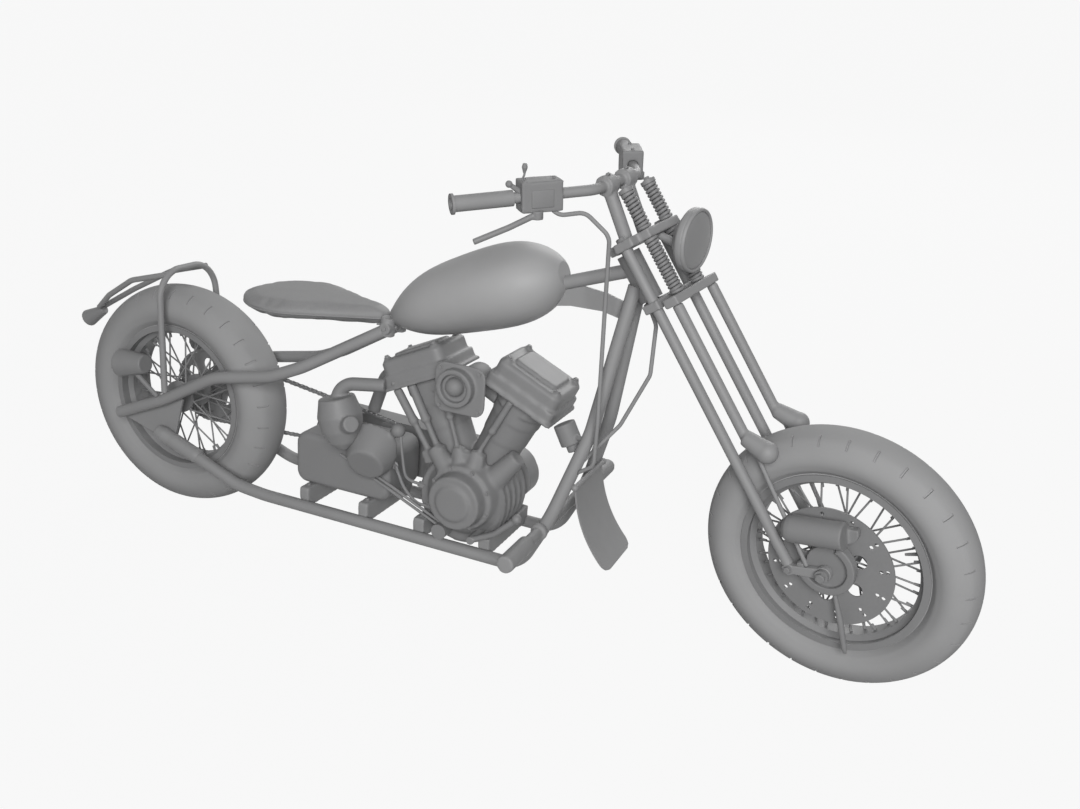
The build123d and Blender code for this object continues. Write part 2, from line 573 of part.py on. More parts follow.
def make_fork():
    fork = {}
    legs = {side: rod(at_fork(REAR_LEG_AHEAD, side * LEG_Y, YOKE_TOP_FROM + YOKE_THICK),
                      at_fork(REAR_LEG_AHEAD, side * LEG_Y, LEG_FOOT_AT), LEG) for side in (-1, 1)}
    sockets = [rod(at_fork(REAR_LEG_AHEAD, side * LEG_Y, YOKE_TOP_FROM + YOKE_THICK + 5),
                   at_fork(REAR_LEG_AHEAD, side * LEG_Y, LEG_FOOT_AT), LEG + SEAT_GAP) for side in (-1, 1)]
    low = fork_block(34, 78, LEG_Y + LEG + 6, YOKE_LOW_TOP - YOKE_THICK, YOKE_LOW_TOP)
    low += fork_block(0, 36, 34, YOKE_LOW_TOP - YOKE_THICK, YOKE_LOW_TOP)
    low += rod(at_fork(0, 0, YOKE_LOW_TOP - YOKE_THICK), at_fork(0, 0, YOKE_LOW_TOP), STEM + 10)
    low += rod(at_fork(0, 0, YOKE_LOW_TOP - 1), at_fork(0, 0, YOKE_TOP_FROM + YOKE_THICK), STEM)
    top = fork_block(0, 124, 72, YOKE_TOP_FROM, YOKE_TOP_FROM + YOKE_THICK)
    top += rod(at_fork(0, 0, YOKE_TOP_FROM), at_fork(0, 0, YOKE_TOP_FROM + YOKE_THICK), STEM + 12)
    top += fork_block(38, 92, LEG_Y + LEG + 6, YOKE_TOP_FROM, YOKE_TOP_FROM + YOKE_THICK)
    top -= rod(at_fork(0, 0, 0), at_fork(0, 0, 120), STEM + SEAT_GAP)
    for socket in sockets:
        low -= socket
        top -= socket
    rods = []
    springs = []
    for side in (-1, 1):
        y = side * ROD_Y
        top -= rod(at_fork(ROD_AHEAD, y, 0), at_fork(ROD_AHEAD, y, 150), ROD + SEAT_GAP)
        spring_top = at_fork(ROD_AHEAD, y, SPRING_TOP)
        rods.append(rod(at_fork(ROD_AHEAD, y, BRIDGE_AT + YOKE_THICK / 2), spring_top, ROD)
                    + rod(spring_top, spring_top + STEER_AXIS * 9, SPRING + 1))
        for start, end in ((BRIDGE_AT + YOKE_THICK / 2 + SEAT_GAP, YOKE_TOP_FROM - SEAT_GAP),
                           (YOKE_TOP_FROM + YOKE_THICK + SEAT_GAP, SPRING_TOP - SEAT_GAP)):
            springs.append(coils(at_fork(ROD_AHEAD, y, start), at_fork(ROD_AHEAD, y, end)))
    fork["lower_yoke"] = low
    fork["top_yoke"] = top
    fork["rear_legs"] = Compound(list(legs.values()))
    fork["spring_rods"] = Compound(rods)
    fork["fork_springs"] = Compound(springs)
    fork["spring_bridge"] = fork_block(ROD_AHEAD - 17, SPRING_LEG_AHEAD + 15, LEG_Y + LEG + 4,
                                       BRIDGE_AT - YOKE_THICK / 2, BRIDGE_AT + YOKE_THICK / 2)
    leg_top = at_fork(SPRING_LEG_AHEAD, LEG_Y, BRIDGE_AT - YOKE_THICK / 2)
    leg = rod(leg_top, at_fork(SPRING_LEG_AHEAD, LEG_Y, -450), LEG)
    leg += rod(at_fork(SPRING_LEG_AHEAD, LEG_Y + 2, -436), at_fork(150, LEG_Y + 6, -488), 19, 26)
    leg += rod(at_fork(118, LEG_Y, -480), at_fork(100, LEG_Y, -770), 6)
    fork["spring_legs"] = Compound([leg, flipped(leg)])

    axle_at = (FRONT_AXLE.X, FRONT_AXLE.Z)
    foot = at_fork(REAR_LEG_AHEAD - 4, LEG_Y, LEG_FOOT_AT - 12)
    rocker = across(foot.X, foot.Z, 15, LEG_Y - 8, LEG_Y + 8) + across(*axle_at, 18, LEG_Y - 8, LEG_Y + 8)
    rocker += plate(((foot.X - 5, foot.Z - 12), (axle_at[0] - 5, axle_at[1] - 15),
                     (axle_at[0] + 4, axle_at[1] + 15), (foot.X + 4, foot.Z + 12)), LEG_Y - 8, LEG_Y + 8)
    rocker -= across(*axle_at, AXLE_RADIUS + SEAT_GAP, 0, 200)
    rocker = rocker - legs[1] - leg
    fork["rockers"] = Compound([rocker, flipped(rocker)])
    axle = across(*axle_at, AXLE_RADIUS, -LEG_Y - 20, LEG_Y + 20)
    for side in (-1, 1):
        axle += across(*axle_at, 16, side * (FRONT_HUB_HALF + 1), side * (LEG_Y - 8 - SEAT_GAP))
        axle += across(*axle_at, 16, side * (LEG_Y + 8 + SEAT_GAP), side * (LEG_Y + 20))
    fork["front_axle"] = axle
    caliper = across(*ahead_of(134, -666), 28, -76, -38) + across(*ahead_of(226, -718), 28, -76, -38)
    corners = ((148, -642), (240, -694), (212, -742), (120, -690))
    caliper += plate([ahead_of(*corner) for corner in corners], -76, -38)
    caliper += rod(at_fork(182, -76, -692), at_fork(182, -100, -692), 27, 23)
    caliper += rod(at_fork(106, -LEG_Y, -668), at_fork(140, -68, -668), 9)
    slot = ROTOR_THICK / 2 + 5
    caliper -= across(*axle_at, ROTOR_RADIUS + 5, -ROTOR_Y - slot, -ROTOR_Y + slot)
    fork["brake_caliper"] = caliper - leg - flipped(leg)

    middle, start, end, to_end = bar_line()
    bar = bent([across_from(end), across_from(start), start, end], BAR, 60)
    for side in (-1, 1):
        foot_at = at_fork(40, side * 40, YOKE_TOP_FROM + YOKE_THICK)
        bar += rod(foot_at, Vector(middle.X, side * 40, middle.Z), 16)
        bar += rod((middle.X, side * 40 - 18, middle.Z), (middle.X, side * 40 + 18, middle.Z), 24)
    deep = rod(end + to_end, end - to_end * BAR_BORE_DEEP, BAR_BORE)
    fork["handlebar"] = bar - deep - flipped(deep) - top
    pairs = {"grips": [], "bar_controls": [], "bar_levers": []}
    for flip in (lambda shape: shape, flipped):
        grip_in = end - to_end * GRIP_LENGTH
        bore = rod(end + to_end, grip_in - to_end, BAR + SEAT_GAP)
        grip = rod(end - to_end * 4, grip_in, GRIP) + rod(end - to_end * 6, end, GRIP + 5)
        pairs["grips"].append(flip(grip - bore))
        box_at = end - to_end * (GRIP_LENGTH + 62)
        box = Plane(origin=box_at + Vector(0, 0, 2), x_dir=to_end, z_dir=(0, 0, 1)) * Box(96, 52, 70)
        box -= rod(end, start, BAR + SEAT_GAP)
        pairs["bar_controls"].append(flip(box))
        pivot = box_at + to_end * 30 + Vector(30, 0, -34)
        knuckle, tip = pivot + to_end * 70 + Vector(6, 0, -22), pivot + to_end * 152 + Vector(6, 0, -46)
        lever = bent([pivot, knuckle, tip], 7, 60)
        lever += rod(pivot + Vector(0, 0, -12), pivot + Vector(0, 0, 8), 13)
        pairs["bar_levers"].append(flip(lever - box))
    for name, pair in pairs.items():
        fork[name] = Compound(pair)
    lens_at = at_fork(178, 0, 8)
    bucket = Plane(origin=lens_at, x_dir=(0, 1, 0), z_dir=(-1, 0, 0))
    lamp = bucket * (Pos(0, 0, 8) * Cylinder(LAMP_RADIUS, 16) + Pos(0, 0, 29) * Cone(LAMP_RADIUS, 36, 26))
    fork["headlight"] = lamp + rod(at_fork(140, 0, 8), at_fork(98, 0, YOKE_TOP_FROM), 10) - top
    fork["headlight_lens"] = bucket * Pos(0, 0, -6.3) * Cylinder(LAMP_RADIUS - 4, 12)
    for name, shape in fork.items():
        add("fork", name, shape)


# Parking: the turned fork's wheel and the rear wheel both touch the ground


def turned(v):
    """A fork point or direction of the straight machine, after the bars are turned."""
    return v * cos(radians(STEER_REST)) + STEER_AXIS.cross(v) * sin(radians(STEER_REST)) \
        + STEER_AXIS * (STEER_AXIS.dot(v) * (1 - cos(radians(STEER_REST))))


def leaned(v):
    a = radians(-LEAN)
    return Vector(v.X, v.Y * cos(a) - v.Z * sin(a), v.Y * sin(a) + v.Z * cos(a))


def lowest(centre, axle, size):
    """Height of a tyre's lowest point."""
    return centre.Z - max(y * abs(axle.Z) + radius * sqrt(1 - axle.Z ** 2) for y, radius in tyre_side(*size))


ACROSS = Vector(0, 1, 0)
front_centre = leaned(NECK + turned(FRONT_AXLE - NECK))
front_low = lowest(front_centre, leaned(turned(ACROSS)), FRONT_TYRE)
rear_low = lowest(leaned(Vector(0, 0, AXLE_Z)), leaned(ACROSS), REAR_TYRE)
PITCH = degrees(atan2(front_low - rear_low, front_centre.X))
park = Pos(0, 0, -rear_low) * Rot(0, PITCH, 0) * Rot(-LEAN, 0, 0)
UP = (park.inverse() * Pos(0, 0, 1)).position - (park.inverse() * Pos(0, 0, 0)).position


def on_ground(x, y, above):
    """The point of the upright machine that is parked this far above the ground."""
    base = (park * Pos(x, y, 0)).position.Z
    return Vector(x, y, (above - base) / UP.Z)


def make_stand():
    """The side stand, its foot flat on the ground, and the bracket that it turns on."""
    pad_thick = 8.0
    pivot = Vector(STAND_X, STAND_Y, STAND_Z)
    foot = on_ground(STAND_FOOT_X, STAND_FOOT_Y, pad_thick / 2)
    swing = (foot - pivot).cross(Vector(*STAND_FOLDED)).normalized()
    leg = rod(pivot + (foot - pivot).normalized() * 10, foot, STAND_LEG)
    leg += rod(pivot - swing * 9, pivot + swing * 9, 15)
    leg -= rod(pivot - swing * 20, pivot + swing * 20, 6 + RUNNING_FIT)
    pad = Plane(origin=foot, x_dir=(1, 0, 0), z_dir=UP) * Cylinder(24, pad_thick)
    leg -= Plane(origin=foot - UP * (pad_thick / 2 + 20), z_dir=UP) * Cylinder(60, 40)
    add("side_stand", "side_stand", leg + pad)
    pin = rod(pivot - swing * 16, pivot + swing * 16, 6)
    for side in (-1, 1):
        pin += rod(pivot + swing * (side * 9.5), pivot + swing * (side * 16), 14)
    pin += rod(pivot - swing * 21, (STAND_X, RAIL_Y + 10, 131), 8)
    pin += rod(pivot - swing * 28, pivot - swing * 15, 10)
    rail = rod(RAIL_FRONT, RAIL_REAR, TUBE + SEAT_GAP)
    add("frame", "stand_bracket", pin - rail)
    turn = degrees(acos((foot - pivot).normalized().dot(Vector(*STAND_FOLDED).normalized())))
    return pivot, swing, foot, turn


def make_cables():
    """A cable and a hose from the fork to the right downtube, both drawn with the bars where they rest."""
    cables = []
    for fork_points, frame_points, radius in (
            (((-2, -186, 230), (4, -184, 200), (62, -166, 176), (80, -152, 104)),
             ((1326, -124, 812), (1334, -122, 554), (1330, -110, 440), (CRADLE_X + 76, -95, 398)), 5),
            (((8, -36, -84), (2, -36, -124)),
             ((1429, -50, 676), (1368, -50, 536), (CRADLE_X + 84, -90, 418)), 5)):
        path = [NECK + turned(at_fork(*point) - NECK) for point in fork_points]
        cables.append(bent(path + [Vector(*point) for point in frame_points], radius, 34))
    for name in ("bar_controls", "lower_yoke"):
        held_by = parts[name].rotate(Axis(NECK, STEER_AXIS), STEER_REST)
        cables = [cable - held_by for cable in cables]
    add("frame", "control_cables", *[cable - parts["downtubes"] for cable in cables])


make_wheels()
make_frame()
make_seat_and_tank()
make_engine()
make_chain()
make_fork()
make_cables()
stand_pivot, stand_swing, stand_foot, stand_turn = make_stand()

steer = Axis(NECK, STEER_AXIS)
for body in ("fork", "front_wheel"):
    for name in bodies[body]:
        parts[name] = parts[name].rotate(steer, STEER_REST)
for name in parts:
    parts[name] = park * parts[name]
reaches = [shape.bounding_box() for shape in parts.values()]
middle_x = (min(box.min.X for box in reaches) + max(box.max.X for box in reaches)) / 2
middle_y = (min(box.min.Y for box in reaches) + max(box.max.Y for box in reaches)) / 2
centred = Pos(-middle_x, -middle_y, 0)

os.makedirs("parts", exist_ok=True)
for name, shape in parts.items():
    export_step(centred * shape, "parts/" + name + ".step")


def placed(point, fork=False):
    """Where a point of the upright, straight machine ends up, in metres."""
    if fork:
        point = NECK + turned(point - NECK)
    return [round(c / 1000, 6) for c in (centred * park * Pos(*point)).position]


def headed(direction, fork=False):
    """The same for a direction."""
    if fork:
        direction = turned(direction)
    tip, root = (park * Pos(*direction)).position, (park * Pos(0, 0, 0)).position
    return [round(c, 8) for c in (tip - root).normalized()]


bar_end, bar_out = bar_line()[2:]
print("bodies", bodies)
for name, point, direction, fork in (
        ("steering", NECK, STEER_AXIS, False),
        ("rear_wheel_spin", Vector(0, 0, REAR_RADIUS), ACROSS, False),
        ("front_wheel_spin", FRONT_AXLE, ACROSS, True),
        ("side_stand_fold", stand_pivot, stand_swing, False),
        ("stand_foot", stand_foot, UP * -1, False),
        ("bar_end_left", bar_end, bar_out, True),
        ("bar_end_right", across_from(bar_end), across_from(bar_out), True),
        ("camera_origin", Vector(0, 0, 0), Vector(1, 0, 0), False)):
    print("place", name, placed(point, fork), headed(direction, fork))
print("stand turn", round(stand_turn, 3), "pitch", round(PITCH, 4), "shift", centred.position)
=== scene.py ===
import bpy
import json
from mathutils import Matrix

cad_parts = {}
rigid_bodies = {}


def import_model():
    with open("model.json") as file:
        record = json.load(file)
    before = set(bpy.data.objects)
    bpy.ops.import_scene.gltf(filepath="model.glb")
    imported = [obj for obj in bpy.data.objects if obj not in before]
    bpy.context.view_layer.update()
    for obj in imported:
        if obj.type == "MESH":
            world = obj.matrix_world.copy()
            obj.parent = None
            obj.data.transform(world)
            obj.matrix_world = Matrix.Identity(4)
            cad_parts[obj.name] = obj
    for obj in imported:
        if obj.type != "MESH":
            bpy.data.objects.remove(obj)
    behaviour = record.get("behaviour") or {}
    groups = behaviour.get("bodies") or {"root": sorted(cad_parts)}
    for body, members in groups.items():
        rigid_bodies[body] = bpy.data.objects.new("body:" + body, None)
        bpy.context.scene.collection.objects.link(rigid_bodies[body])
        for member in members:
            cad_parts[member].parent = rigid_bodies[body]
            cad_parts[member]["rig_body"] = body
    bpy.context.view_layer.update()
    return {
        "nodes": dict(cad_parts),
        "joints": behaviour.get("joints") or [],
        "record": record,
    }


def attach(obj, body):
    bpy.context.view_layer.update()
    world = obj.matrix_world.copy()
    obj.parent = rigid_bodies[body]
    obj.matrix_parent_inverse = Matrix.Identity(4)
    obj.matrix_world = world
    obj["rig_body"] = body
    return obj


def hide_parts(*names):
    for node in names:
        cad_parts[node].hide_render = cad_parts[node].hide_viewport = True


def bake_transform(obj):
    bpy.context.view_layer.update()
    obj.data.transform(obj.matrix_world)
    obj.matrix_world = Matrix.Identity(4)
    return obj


bl_info = {
    "name": "Chopper motorcycle",
    "version": (1, 0, 0),
    "blender": (4, 5, 0),
    "location": "View3D > Sidebar > Motorcycle",
    "description": "Dresses the chopper's frame with its tyres, seat, trim and finishes",
    "category": "Add Mesh",
}

import json
from math import acos, atan2, cos, pi, radians, sin, sqrt

import bmesh
import bpy
from bpy.props import FloatProperty, FloatVectorProperty, IntProperty, PointerProperty
from bpy.types import Operator, Panel, PropertyGroup
from mathutils import Matrix, Vector

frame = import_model()
JOINTS = {joint["name"]: joint for joint in frame["joints"]}

# The upright machine's own frame, in metres: rear tyre on the ground below the origin, +X forward.
LEAN = radians(-10.5)
STEER_REST = radians(-13.8)
RAKE = radians(35.0)
REAR_RADIUS = 0.330
NECK = Vector((1.36005, 0.0, 0.89993))
STEER_AXIS = Vector((-sin(RAKE), 0.0, cos(RAKE)))
AHEAD = Vector((cos(RAKE), 0.0, sin(RAKE)))
FRONT_AXLE = Vector((1.925, 0.0, 0.325))

REAR_AXLE = Vector((0.0, 0.0, REAR_RADIUS))
CRANK = Vector((0.960, 0.0, 0.245))
CYLINDER_LEAN = radians(25.0)
CAM_CENTRE = CRANK + Vector((0.018, 0.0, 0.025))
# Half the distance between the lower rails and between the fork's legs, and where its spring rods stand
RAIL_Y = 0.1255
LEG_Y = 0.0845
ROD_AHEAD = 0.106
ROD_Y = 0.050
# Each tyre's radius, width and crown, and the radius and half width of the rim at its bead
TYRES = {"rear": (0.330, 0.156, 0.095, 0.207, 0.054), "front": (0.325, 0.126, 0.076, 0.213, 0.038)}
TYRE_STEPS = 360
SPOKES = 40

MACHINE = (Matrix.Translation(JOINTS["rear_wheel_spin"]["pos_m"]) @ Matrix.Rotation(LEAN, 4, "X")
           @ Matrix.Translation((0.0, 0.0, -REAR_RADIUS)))
STEERED = (MACHINE @ Matrix.Translation(NECK) @ Matrix.Rotation(STEER_REST, 4, STEER_AXIS)
           @ Matrix.Translation(-NECK))
# Where each body's own machine or wheel frame is parked.
PLACE = {
    "frame": MACHINE,
    "fork": STEERED,
    "rear_wheel": MACHINE @ Matrix.Translation(REAR_AXLE),
    "front_wheel": STEERED @ Matrix.Translation(FRONT_AXLE),
}

# The photograph's camera, in the same frame.
CAMERA_TARGET = Vector((1.1341, 0.0, 0.5263))
CAMERA_AZIMUTH = radians(21.8578)
CAMERA_HEIGHT = radians(19.164)
CAMERA_ROLL = radians(4.4501)
CAMERA_DISTANCE = 2.679
FOCAL_PIXELS = 1046.8747
PHOTO_WIDTH = 1080
SENSOR = 36.0


# Materials

# The CAD nodes come with plain materials under the slots' own names.
FINISH_NAME = "finish_"
SHEEN = 0.38


class Signal:
    """An output of a material's node. Sums on it add Math nodes."""

    def __init__(self, paint, socket):
        self.paint = paint
        self.socket = socket

    def maths(self, operation, *others):
        return self.paint.node("ShaderNodeMath", {"operation": operation}, self, *others)

    def __add__(self, other):
        return self.maths("ADD", other)

    def __sub__(self, other):
        return self.maths("SUBTRACT", other)

    def __rsub__(self, other):
        return self.paint.node("ShaderNodeMath", {"operation": "SUBTRACT"}, other, self)

    def __mul__(self, other):
        return self.maths("MULTIPLY", other)

    __radd__ = __add__
    __rmul__ = __mul__


class Paint:
    """A material made of nodes, ending in one Principled shader."""

    def __init__(self, name, colour, roughness):
        self.material = bpy.data.materials.new(name)
        self.material.use_nodes = True
        self.tree = self.material.node_tree
        self.shader = self.tree.nodes["Principled BSDF"]
        self.colour = colour
        self.shader.inputs["Roughness"].default_value = roughness
        self.shader.inputs["Specular IOR Level"].default_value = SHEEN
        self.shader.inputs["Base Color"].default_value = (*colour, 1.0)
        place = self.tree.nodes.new("ShaderNodeTexCoord")
        self.place = Signal(self, place.outputs["Object"])

    def node(self, kind, settings=None, *inputs, output=0, **named):
        """One node of a kind: its settings are set first, then its inputs in order or by name."""
        made = self.tree.nodes.new(kind)
        for key, value in (settings or {}).items():
            setattr(made, key, value)
        for key, value in list(enumerate(inputs)) + list(named.items()):
            if isinstance(value, Signal):
                self.tree.links.new(value.socket, made.inputs[key])
            else:
                made.inputs[key].default_value = value
        return Signal(self, made.outputs[output])

    def noise(self, scale, detail=4.0, roughness=0.55, stretch=None):
        place = self.place
        if stretch:
            place = self.node("ShaderNodeMapping", None, place, Scale=stretch)
        return self.node("ShaderNodeTexNoise", None, Vector=place, Scale=scale, Detail=detail,
                         Roughness=roughness, output="Fac")

    def ramp(self, value, low, high):
        """A value brought from low..high to 0..1."""
        return self.node("ShaderNodeMapRange", None, value, low, high, 0.0, 1.0)

    def shade(self, amount, dark, light):
        """Base colour between two shades of the finish's own colour."""
        low = (*[c * dark for c in self.colour], 1.0)
        high = (*[c * light for c in self.colour], 1.0)
        mix = self.tree.nodes.new("ShaderNodeMix")
        mix.data_type = "RGBA"
        self.tree.links.new(amount.socket, mix.inputs["Factor"])
        mix.inputs[6].default_value = low
        mix.inputs[7].default_value = high
        self.tree.links.new(mix.outputs[2], self.shader.inputs["Base Color"])

    def set_roughness(self, value):
        self.tree.links.new(value.socket, self.shader.inputs["Roughness"])

    def bump(self, height, strength, distance):
        normal = self.node("ShaderNodeBump", None, Strength=strength, Distance=distance, Height=height)
        self.tree.links.new(normal.socket, self.shader.inputs["Normal"])


def satin_metal(name, colour, roughness):
    """Painted or plain metal: faint cloudiness, fine orange peel and a little handling wear."""
    paint = Paint(name, colour, roughness)
    cloud = paint.noise(7.0, detail=3.0)
    speck = paint.noise(900.0, detail=2.0)
    paint.shade(cloud * 0.8 + speck * 0.2, 0.90, 1.10)
    paint.set_roughness(paint.ramp(paint.noise(26.0), 0.2, 0.8) * 0.12 + (roughness - 0.06))
    paint.bump(speck, 0.10, 0.0004)


def cast_metal(name, colour, roughness):
    """Bead-blasted castings: a pebbled skin, with painted shade darkening its hollows."""
    paint = Paint(name, colour, roughness)
    pebble = paint.noise(420.0, detail=3.0, roughness=0.6)
    cloud = paint.noise(12.0, detail=4.0)
    # The pebble's low spots, which the bump sinks, are painted darker: painted shade in the hollows
    paint.shade(cloud * 0.6 + pebble * 0.4, 0.84, 1.12)
    paint.set_roughness(paint.ramp(cloud, 0.3, 0.7) * 0.14 + (roughness - 0.07))
    paint.bump(pebble, 0.22, 0.0008)


def turned_steel(name, colour, roughness):
    """Plain steel with a brushed grain along its length."""
    paint = Paint(name, colour, roughness)
    grain = paint.noise(120.0, detail=3.0, stretch=(1.0, 6.0, 1.0))
    cloud = paint.noise(18.0)
    paint.shade(grain * 0.4 + cloud * 0.6, 0.88, 1.12)
    paint.set_roughness(paint.ramp(grain, 0.3, 0.7) * 0.12 + (roughness - 0.06))
    paint.bump(grain, 0.08, 0.0004)


def tyre_rubber(name, colour):
    paint = Paint(name, colour, 0.78)
    dust = paint.noise(9.0, detail=5.0)
    pore = paint.noise(700.0, detail=2.0)
    paint.shade(dust * 0.7 + pore * 0.3, 0.86, 1.14)
    paint.set_roughness(paint.ramp(dust, 0.3, 0.7) * 0.12 + 0.72)
    paint.bump(pore, 0.16, 0.0006)


def seat_hide(name, colour):
    """Leather: a net of fine creases around small pebbles, with painted shade darkening the creases."""
    paint = Paint(name, colour, 0.58)
    cells = paint.node("ShaderNodeTexVoronoi", {"feature": "DISTANCE_TO_EDGE"}, Vector=paint.place,
                       Scale=260.0, output="Distance")
    creases = paint.ramp(cells, 0.0, 0.22)
    cloud = paint.noise(11.0)
    # The creases are painted darker than the pebbles between them: painted shade in the creases
    paint.shade(cloud * 0.55 + creases * 0.45, 0.84, 1.08)
    paint.set_roughness(0.66 - creases * 0.10)
    paint.bump(creases, 0.18, 0.0007)


def ribbed_rubber(name, colour):
    paint = Paint(name, colour, 0.72)
    pore = paint.noise(380.0)
    paint.shade(paint.noise(20.0) * 0.6 + pore * 0.4, 0.86, 1.12)
    paint.bump(pore, 0.2, 0.0006)


def lamp_moulding(name, colour, roughness):
    paint = Paint(name, colour, roughness)
    cloud = paint.noise(30.0, detail=2.0)
    paint.shade(cloud, 0.93, 1.07)
    paint.set_roughness(paint.ramp(cloud, 0.3, 0.7) * 0.08 + (roughness - 0.04))


class FinishSettings(PropertyGroup):
    frame_grey: FloatVectorProperty(
        name="Frame paint", description="Colour of the frame, the fork and the guards", subtype="COLOR",
        size=3, min=0.0, max=1.0, default=(0.310, 0.310, 0.313))
    tank_grey: FloatVectorProperty(
        name="Tank paint", description="Colour of the fuel tank", subtype="COLOR",
        size=3, min=0.0, max=1.0, default=(0.420, 0.420, 0.423))
    metal_grey: FloatVectorProperty(
        name="Bright metal", description="Colour of the rims, covers and plain steel", subtype="COLOR",
        size=3, min=0.0, max=1.0, default=(0.260, 0.260, 0.263))
    rubber_grey: FloatVectorProperty(
        name="Rubber", description="Colour of the tyres, grips and cables", subtype="COLOR",
        size=3, min=0.0, max=1.0, default=(0.370, 0.370, 0.373))


class StageSettings(PropertyGroup):
    key_power: FloatProperty(
        name="Key light", description="Power of the soft light over the camera's shoulder", unit="POWER",
        default=245.0, min=0.0)
    fill_strength: FloatProperty(
        name="Fill", description="Strength of the even light from all around", default=0.08, min=0.0)


def make_finishes(settings):
    """One material for each slot, named after it."""
    frame_grey, metal_grey, rubber_grey = settings.frame_grey, settings.metal_grey, settings.rubber_grey
    for slot, recipe, grey, *roughness in (
            ("frame_paint", satin_metal, frame_grey, 0.56),
            ("tank_paint", satin_metal, settings.tank_grey, 0.52),
            ("fork_metal", satin_metal, frame_grey, 0.54),
            ("bright_metal", turned_steel, metal_grey, 0.50),
            ("cast_metal", cast_metal, metal_grey, 0.62),
            ("steel", turned_steel, metal_grey, 0.52),
            ("tyre", tyre_rubber, rubber_grey),
            ("seat_leather", seat_hide, frame_grey),
            ("grip_rubber", ribbed_rubber, frame_grey),
            ("cable_rubber", ribbed_rubber, frame_grey),
            ("lamp_glass", lamp_moulding, metal_grey, 0.38),
            ("lamp_plastic", lamp_moulding, metal_grey, 0.50)):
        recipe(FINISH_NAME + slot, grey, *roughness)


def finish_of(slot):
    return bpy.data.materials[FINISH_NAME + slot]


# Mesh helpers


def new_object(name, bm):
    """An object of the scene from a bmesh, which is freed."""
    mesh = bpy.data.meshes.new(name)
    bm.to_mesh(mesh)
    bm.free()
    made = bpy.data.objects.new(name, mesh)
    bpy.context.scene.collection.objects.link(made)
    return made


def keep_piece(name, bm, body, slot, replaces=(), smooth_angle=35.0, parked=False):
    """Turn a bmesh into a finished piece on its body, and park it if it is still in its body's own frame."""
    if not parked:
        bm.transform(PLACE[body])
    bmesh.ops.remove_doubles(bm, verts=bm.verts, dist=1e-6)
    bmesh.ops.recalc_face_normals(bm, faces=bm.faces)
    piece = new_object(name, bm)
    piece.data.materials.append(finish_of(slot))
    piece.data.shade_smooth()
    piece.data.set_sharp_from_angle(angle=radians(smooth_angle))
    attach(piece, body)
    if replaces:
        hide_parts(*replaces)
    return piece


def add_turned(bm, points, axis, steps, closed=True):
    """A body turned about an axis through the origin from points in a plane with it."""
    verts = [bm.verts.new(point) for point in points]
    after = verts[1:] + verts[:1] if closed else verts[1:]
    edges = [bm.edges.new(pair) for pair in zip(verts, after)]
    bmesh.ops.spin(bm, geom=verts + edges, cent=(0, 0, 0), axis=axis, angle=2 * pi, steps=steps,
                   use_merge=True, use_duplicate=False)
    bmesh.ops.recalc_face_normals(bm, faces=bm.faces)


def add_all(bm, other):
    """Add the shapes of another bmesh, which is freed."""
    mesh = bpy.data.meshes.new("joined")
    other.to_mesh(mesh)
    other.free()
    bm.from_mesh(mesh)


def raise_face(bm, face, height):
    """Pull a face along Y into a solid, and return the solid's lid."""
    made = bmesh.ops.extrude_face_region(bm, geom=[face])["geom"]
    moved = [item for item in made if isinstance(item, bmesh.types.BMVert)]
    bmesh.ops.translate(bm, verts=moved, vec=(0, height, 0))
    return next(item for item in made if isinstance(item, bmesh.types.BMFace))


def bend(start, middle, end, t):
    """A point of the curve from start to end that passes the middle halfway."""
    control = middle * 2 - (start + end) / 2
    return start * (1 - t) ** 2 + control * 2 * t * (1 - t) + end * t ** 2


def at_fork(ahead, y, along):
    """A point of the straight fork, ahead of the neck axis and along it, in metres."""
    return NECK + AHEAD * ahead + Vector((0.0, y, 0.0)) + STEER_AXIS * along


def at_cylinder(lean, across, y, up):
    """A point of one cylinder's own frame: up its axis from the crank, and across it."""
    axis = Vector((sin(lean), 0.0, cos(lean)))
    return CRANK + axis * up + Vector((cos(lean), 0.0, -sin(lean))) * across + Vector((0.0, y, 0.0))


def facing(axis):
    """A turn that brings +Z onto a direction."""
    return Vector(axis).to_track_quat("Z", "Y").to_matrix().to_4x4()


def add_cone(bm, foot, axis, low_radius, high_radius, height, sides=24):
    """A capped cone or cylinder that stands on its foot along a direction."""
    axis = Vector(axis).normalized()
    place = Matrix.Translation(Vector(foot) + axis * height / 2) @ facing(axis)
    bmesh.ops.create_cone(bm, cap_ends=True, segments=sides, radius1=low_radius, radius2=high_radius,
                          depth=height, matrix=place)


def add_bolt(bm, foot, axis, radius):
    """A hexagon head on its washer."""
    foot, axis, sunk = Vector(foot), Vector(axis).normalized(), 0.001
    add_cone(bm, foot - axis * sunk, axis, radius * 1.35, radius * 1.3, 2.2 * sunk, 20)
    add_cone(bm, foot + axis * sunk, axis, radius, radius, radius * 0.62, 6)
    add_cone(bm, foot + axis * (sunk + radius * 0.6), axis, radius * 0.84, radius * 0.72, radius * 0.14, 20)


def add_tube(bm, points, radius, sides=12, closed=False):
    """A round tube through a run of points."""
    points = [Vector(point) for point in points]
    count = len(points)
    rings = []
    side = None
    for i, point in enumerate(points):
        before = points[i - 1] if i or closed else point
        after = points[(i + 1) % count] if i < count - 1 or closed else point
        run = (after - before).normalized()
        if side is None:
            side = run.orthogonal().normalized()
        side = (side - run * side.dot(run)).normalized()
        other = run.cross(side)
        rings.append([bm.verts.new(point + side * radius * cos(2 * pi * j / sides)
                                   + other * radius * sin(2 * pi * j / sides)) for j in range(sides)])
    for i in range(count if closed else count - 1):
        near, far = rings[i], rings[(i + 1) % count]
        for j in range(sides):
            k = (j + 1) % sides
            bm.faces.new((near[j], near[k], far[k], far[j]))
    if not closed:
        bm.faces.new(list(reversed(rings[0])))
        bm.faces.new(rings[-1])


SLOT_OF = {entry["node"]: entry["material_slot"] for entry in frame["record"]["subparts"]}


# Operators


